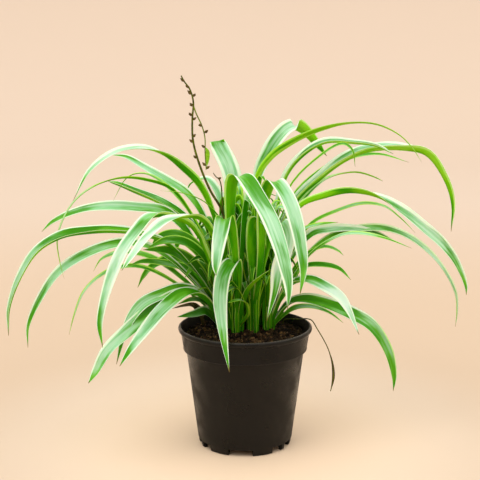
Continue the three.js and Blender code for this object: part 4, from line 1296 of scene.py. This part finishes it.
def finish_stalk(name, stands_for, slot, parts):
    """One piece from (shape, material) pairs."""
    materials = [material for _, material in parts]
    wears = [number for number, (shape, _) in enumerate(parts) for _ in shape[1]]
    make_piece(name, *join(shape for shape, _ in parts), materials, slot, [stands_for], wears=wears)


bract = blade(seen_path(BRACT_PATH, STALK_DEPTH), width=4.8, turn=55)[:2]
finish_stalk("budded_stalk", "flower_stalk", "stalk", [
    (main_stem, stalk_olive), (branch, branch_green), (bract, bract_green), (buds, bud_brown)])
finish_stalk("withered_stalk", "short_stalk", "dry", [(short_stem, stalk_olive), (knot, bud_brown)])

# %% [markdown]
# ## Dead leaves
# Two leaves have died. The one at the right has dried to an olive thread that hangs over the lip and opens
# again near its end, where the blade was broadest. The one at the left is a dark scrap, curled up on the soil.
# They could be crumpled with a cloth simulation, but a thin tube and a turned blade show as much at this size.

# %% Dead leaves
DRY_RIGHT = ((39, 38, 100), (39, 38, 112.5), (47, 33, 115), (55, 22, 118), (61, 12, 121), (65.5, 5, 120.8),
             (70, 2, 114), (76, 1, 104), (81, 0, 94), (85, 0, 81), (86.5, -1, 65), (84, -1, 51))
DRY_LEFT = ((-42, 26, 100), (-42, 26, 114), (-46, 28, 126), (-52, 28, 131), (-62, 28, 130), (-73, 28, 127))

thread = tube(DRY_RIGHT, 0.65, 0.45, steps=90, sides=8)
opened = blade(DRY_RIGHT[-4:], width=4.0, turn=(10, 40))[:2]
curled = blade(DRY_LEFT, width=7, turn=(75, 20))[:2]
finish_stalk("dry_leaf_right", "dead_leaf_right", "dry", [(thread, stalk_olive), (opened, dry_leaf)])
make_piece("dry_leaf_left", *curled, [dry_leaf], "dry", ["dead_leaf_left"])

# %% [markdown]
# ## Floor and light
# The plant stands on a pale sweep: a floor that curves up far behind it, all the way round, so that no edge
# shows from any side. Its colour changes with the distance from the pot, and right round the pot it is painted
# lighter and warmer, which lifts the plant's shadow there. Most of the light comes from everywhere, as in a
# white studio.
# A broad, soft lamp from the upper left gives the leaves their shine and the pot its gentle shading.

# %% Floor
FLOOR_RADIUS = 2200
FLOOR_RINGS = (1, 600, 1400)
FLOOR_SIDES = 96
SWEEP_RADIUS = 1300
SWEEP_STEPS = 24
SWEEP_TOP = 1600
FLOOR_PATCHES = ((0.672, 0.546, 0.425), (0.684, 0.558, 0.437))
# The first tone is painted light: lighter and warmer close to the pot, where it lifts the plant's shadow.
FLOOR_TONES = (
    ((0.26, 0.06), (0.80, 0.615, 0.445)),
    ((0.12, 0.36), (0.556, 0.423, 0.303)),
    ((0.5, 1.6), (0.584, 0.472, 0.376)),
)

floor_material, tree, shader = new_material("pale_floor")
marks = use_group(tree, mottle, {"Patch Size": 700.0, "Speck Size": 2.0})
place = add(tree, "TexCoord", {})["Object"]
distance = add(tree, "VectorMath", {0: place}, operation="LENGTH")["Value"]
tone = blend(marks["Patches"], *FLOOR_PATCHES)
for limits, colour in FLOOR_TONES:
    tone = blend(fade(distance, *limits), tone, colour)
feed(tree, shader, {"Base Color": tone, "Roughness": 0.9, "Specular IOR Level": 0.2})
sweep = [
    (FLOOR_RADIUS + SWEEP_RADIUS * math.sin(a), SWEEP_RADIUS * (1 - math.cos(a)))
    for a in np.radians(np.linspace(0, 90, SWEEP_STEPS))
]
profile = [*((radius, 0) for radius in FLOOR_RINGS), *sweep, (sweep[-1][0], SWEEP_TOP)]
floor_faces = turned_over(grid_faces(len(profile), FLOOR_SIDES, closed=True))
floor_faces.append(tuple(range(FLOOR_SIDES)))
floor = new_mesh("floor", turned(profile, FLOOR_SIDES), floor_faces, [floor_material])
floor.data.shade_smooth()
floor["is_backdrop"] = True
print("floor", 2 * FLOOR_RADIUS / 1000, "m across before it rises")

# %% Lights
SKY = (1.0, 0.98, 0.95, 1)
SKY_STRENGTH = 1.4

world = bpy.data.worlds.new("studio")
world.use_nodes = True
feed(world.node_tree, world.node_tree.nodes["Background"], {"Color": SKY, "Strength": SKY_STRENGTH})
scene.world = world


def lamp(name, aim, strength, spread, colour):
    """A distant soft lamp. Aim is the direction that its light comes from."""
    data = bpy.data.lights.new(name, "SUN")
    data.energy = strength
    data.angle = math.radians(spread)
    data.color = colour
    new_object(name, data).rotation_euler = Vector(aim).to_track_quat("Z", "Y").to_euler()


lamp("key", aim=(-0.45, -0.45, 1.0), strength=0.98, spread=40, colour=(1.0, 0.985, 0.96))
lamp("fill", aim=(0.8, -0.6, 0.7), strength=0.45, spread=70, colour=(1.0, 0.98, 0.95))
scene.view_settings.view_transform = "Standard"
scene.view_settings.look = "None"

# %% [markdown]
# ## Sizes
# Both boxes are printed: the dressed plant's and that of the solids it replaces, so that they can be compared.

# %% Write the sizes and finish
visual_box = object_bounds()
for axis, low, high, cad_low, cad_high in zip("XYZ", *visual_box, *cad_box):
    print(f"{axis}: {low / MM:.1f} to {high / MM:.1f} mm, solids {cad_low / MM:.1f} to {cad_high / MM:.1f} mm")
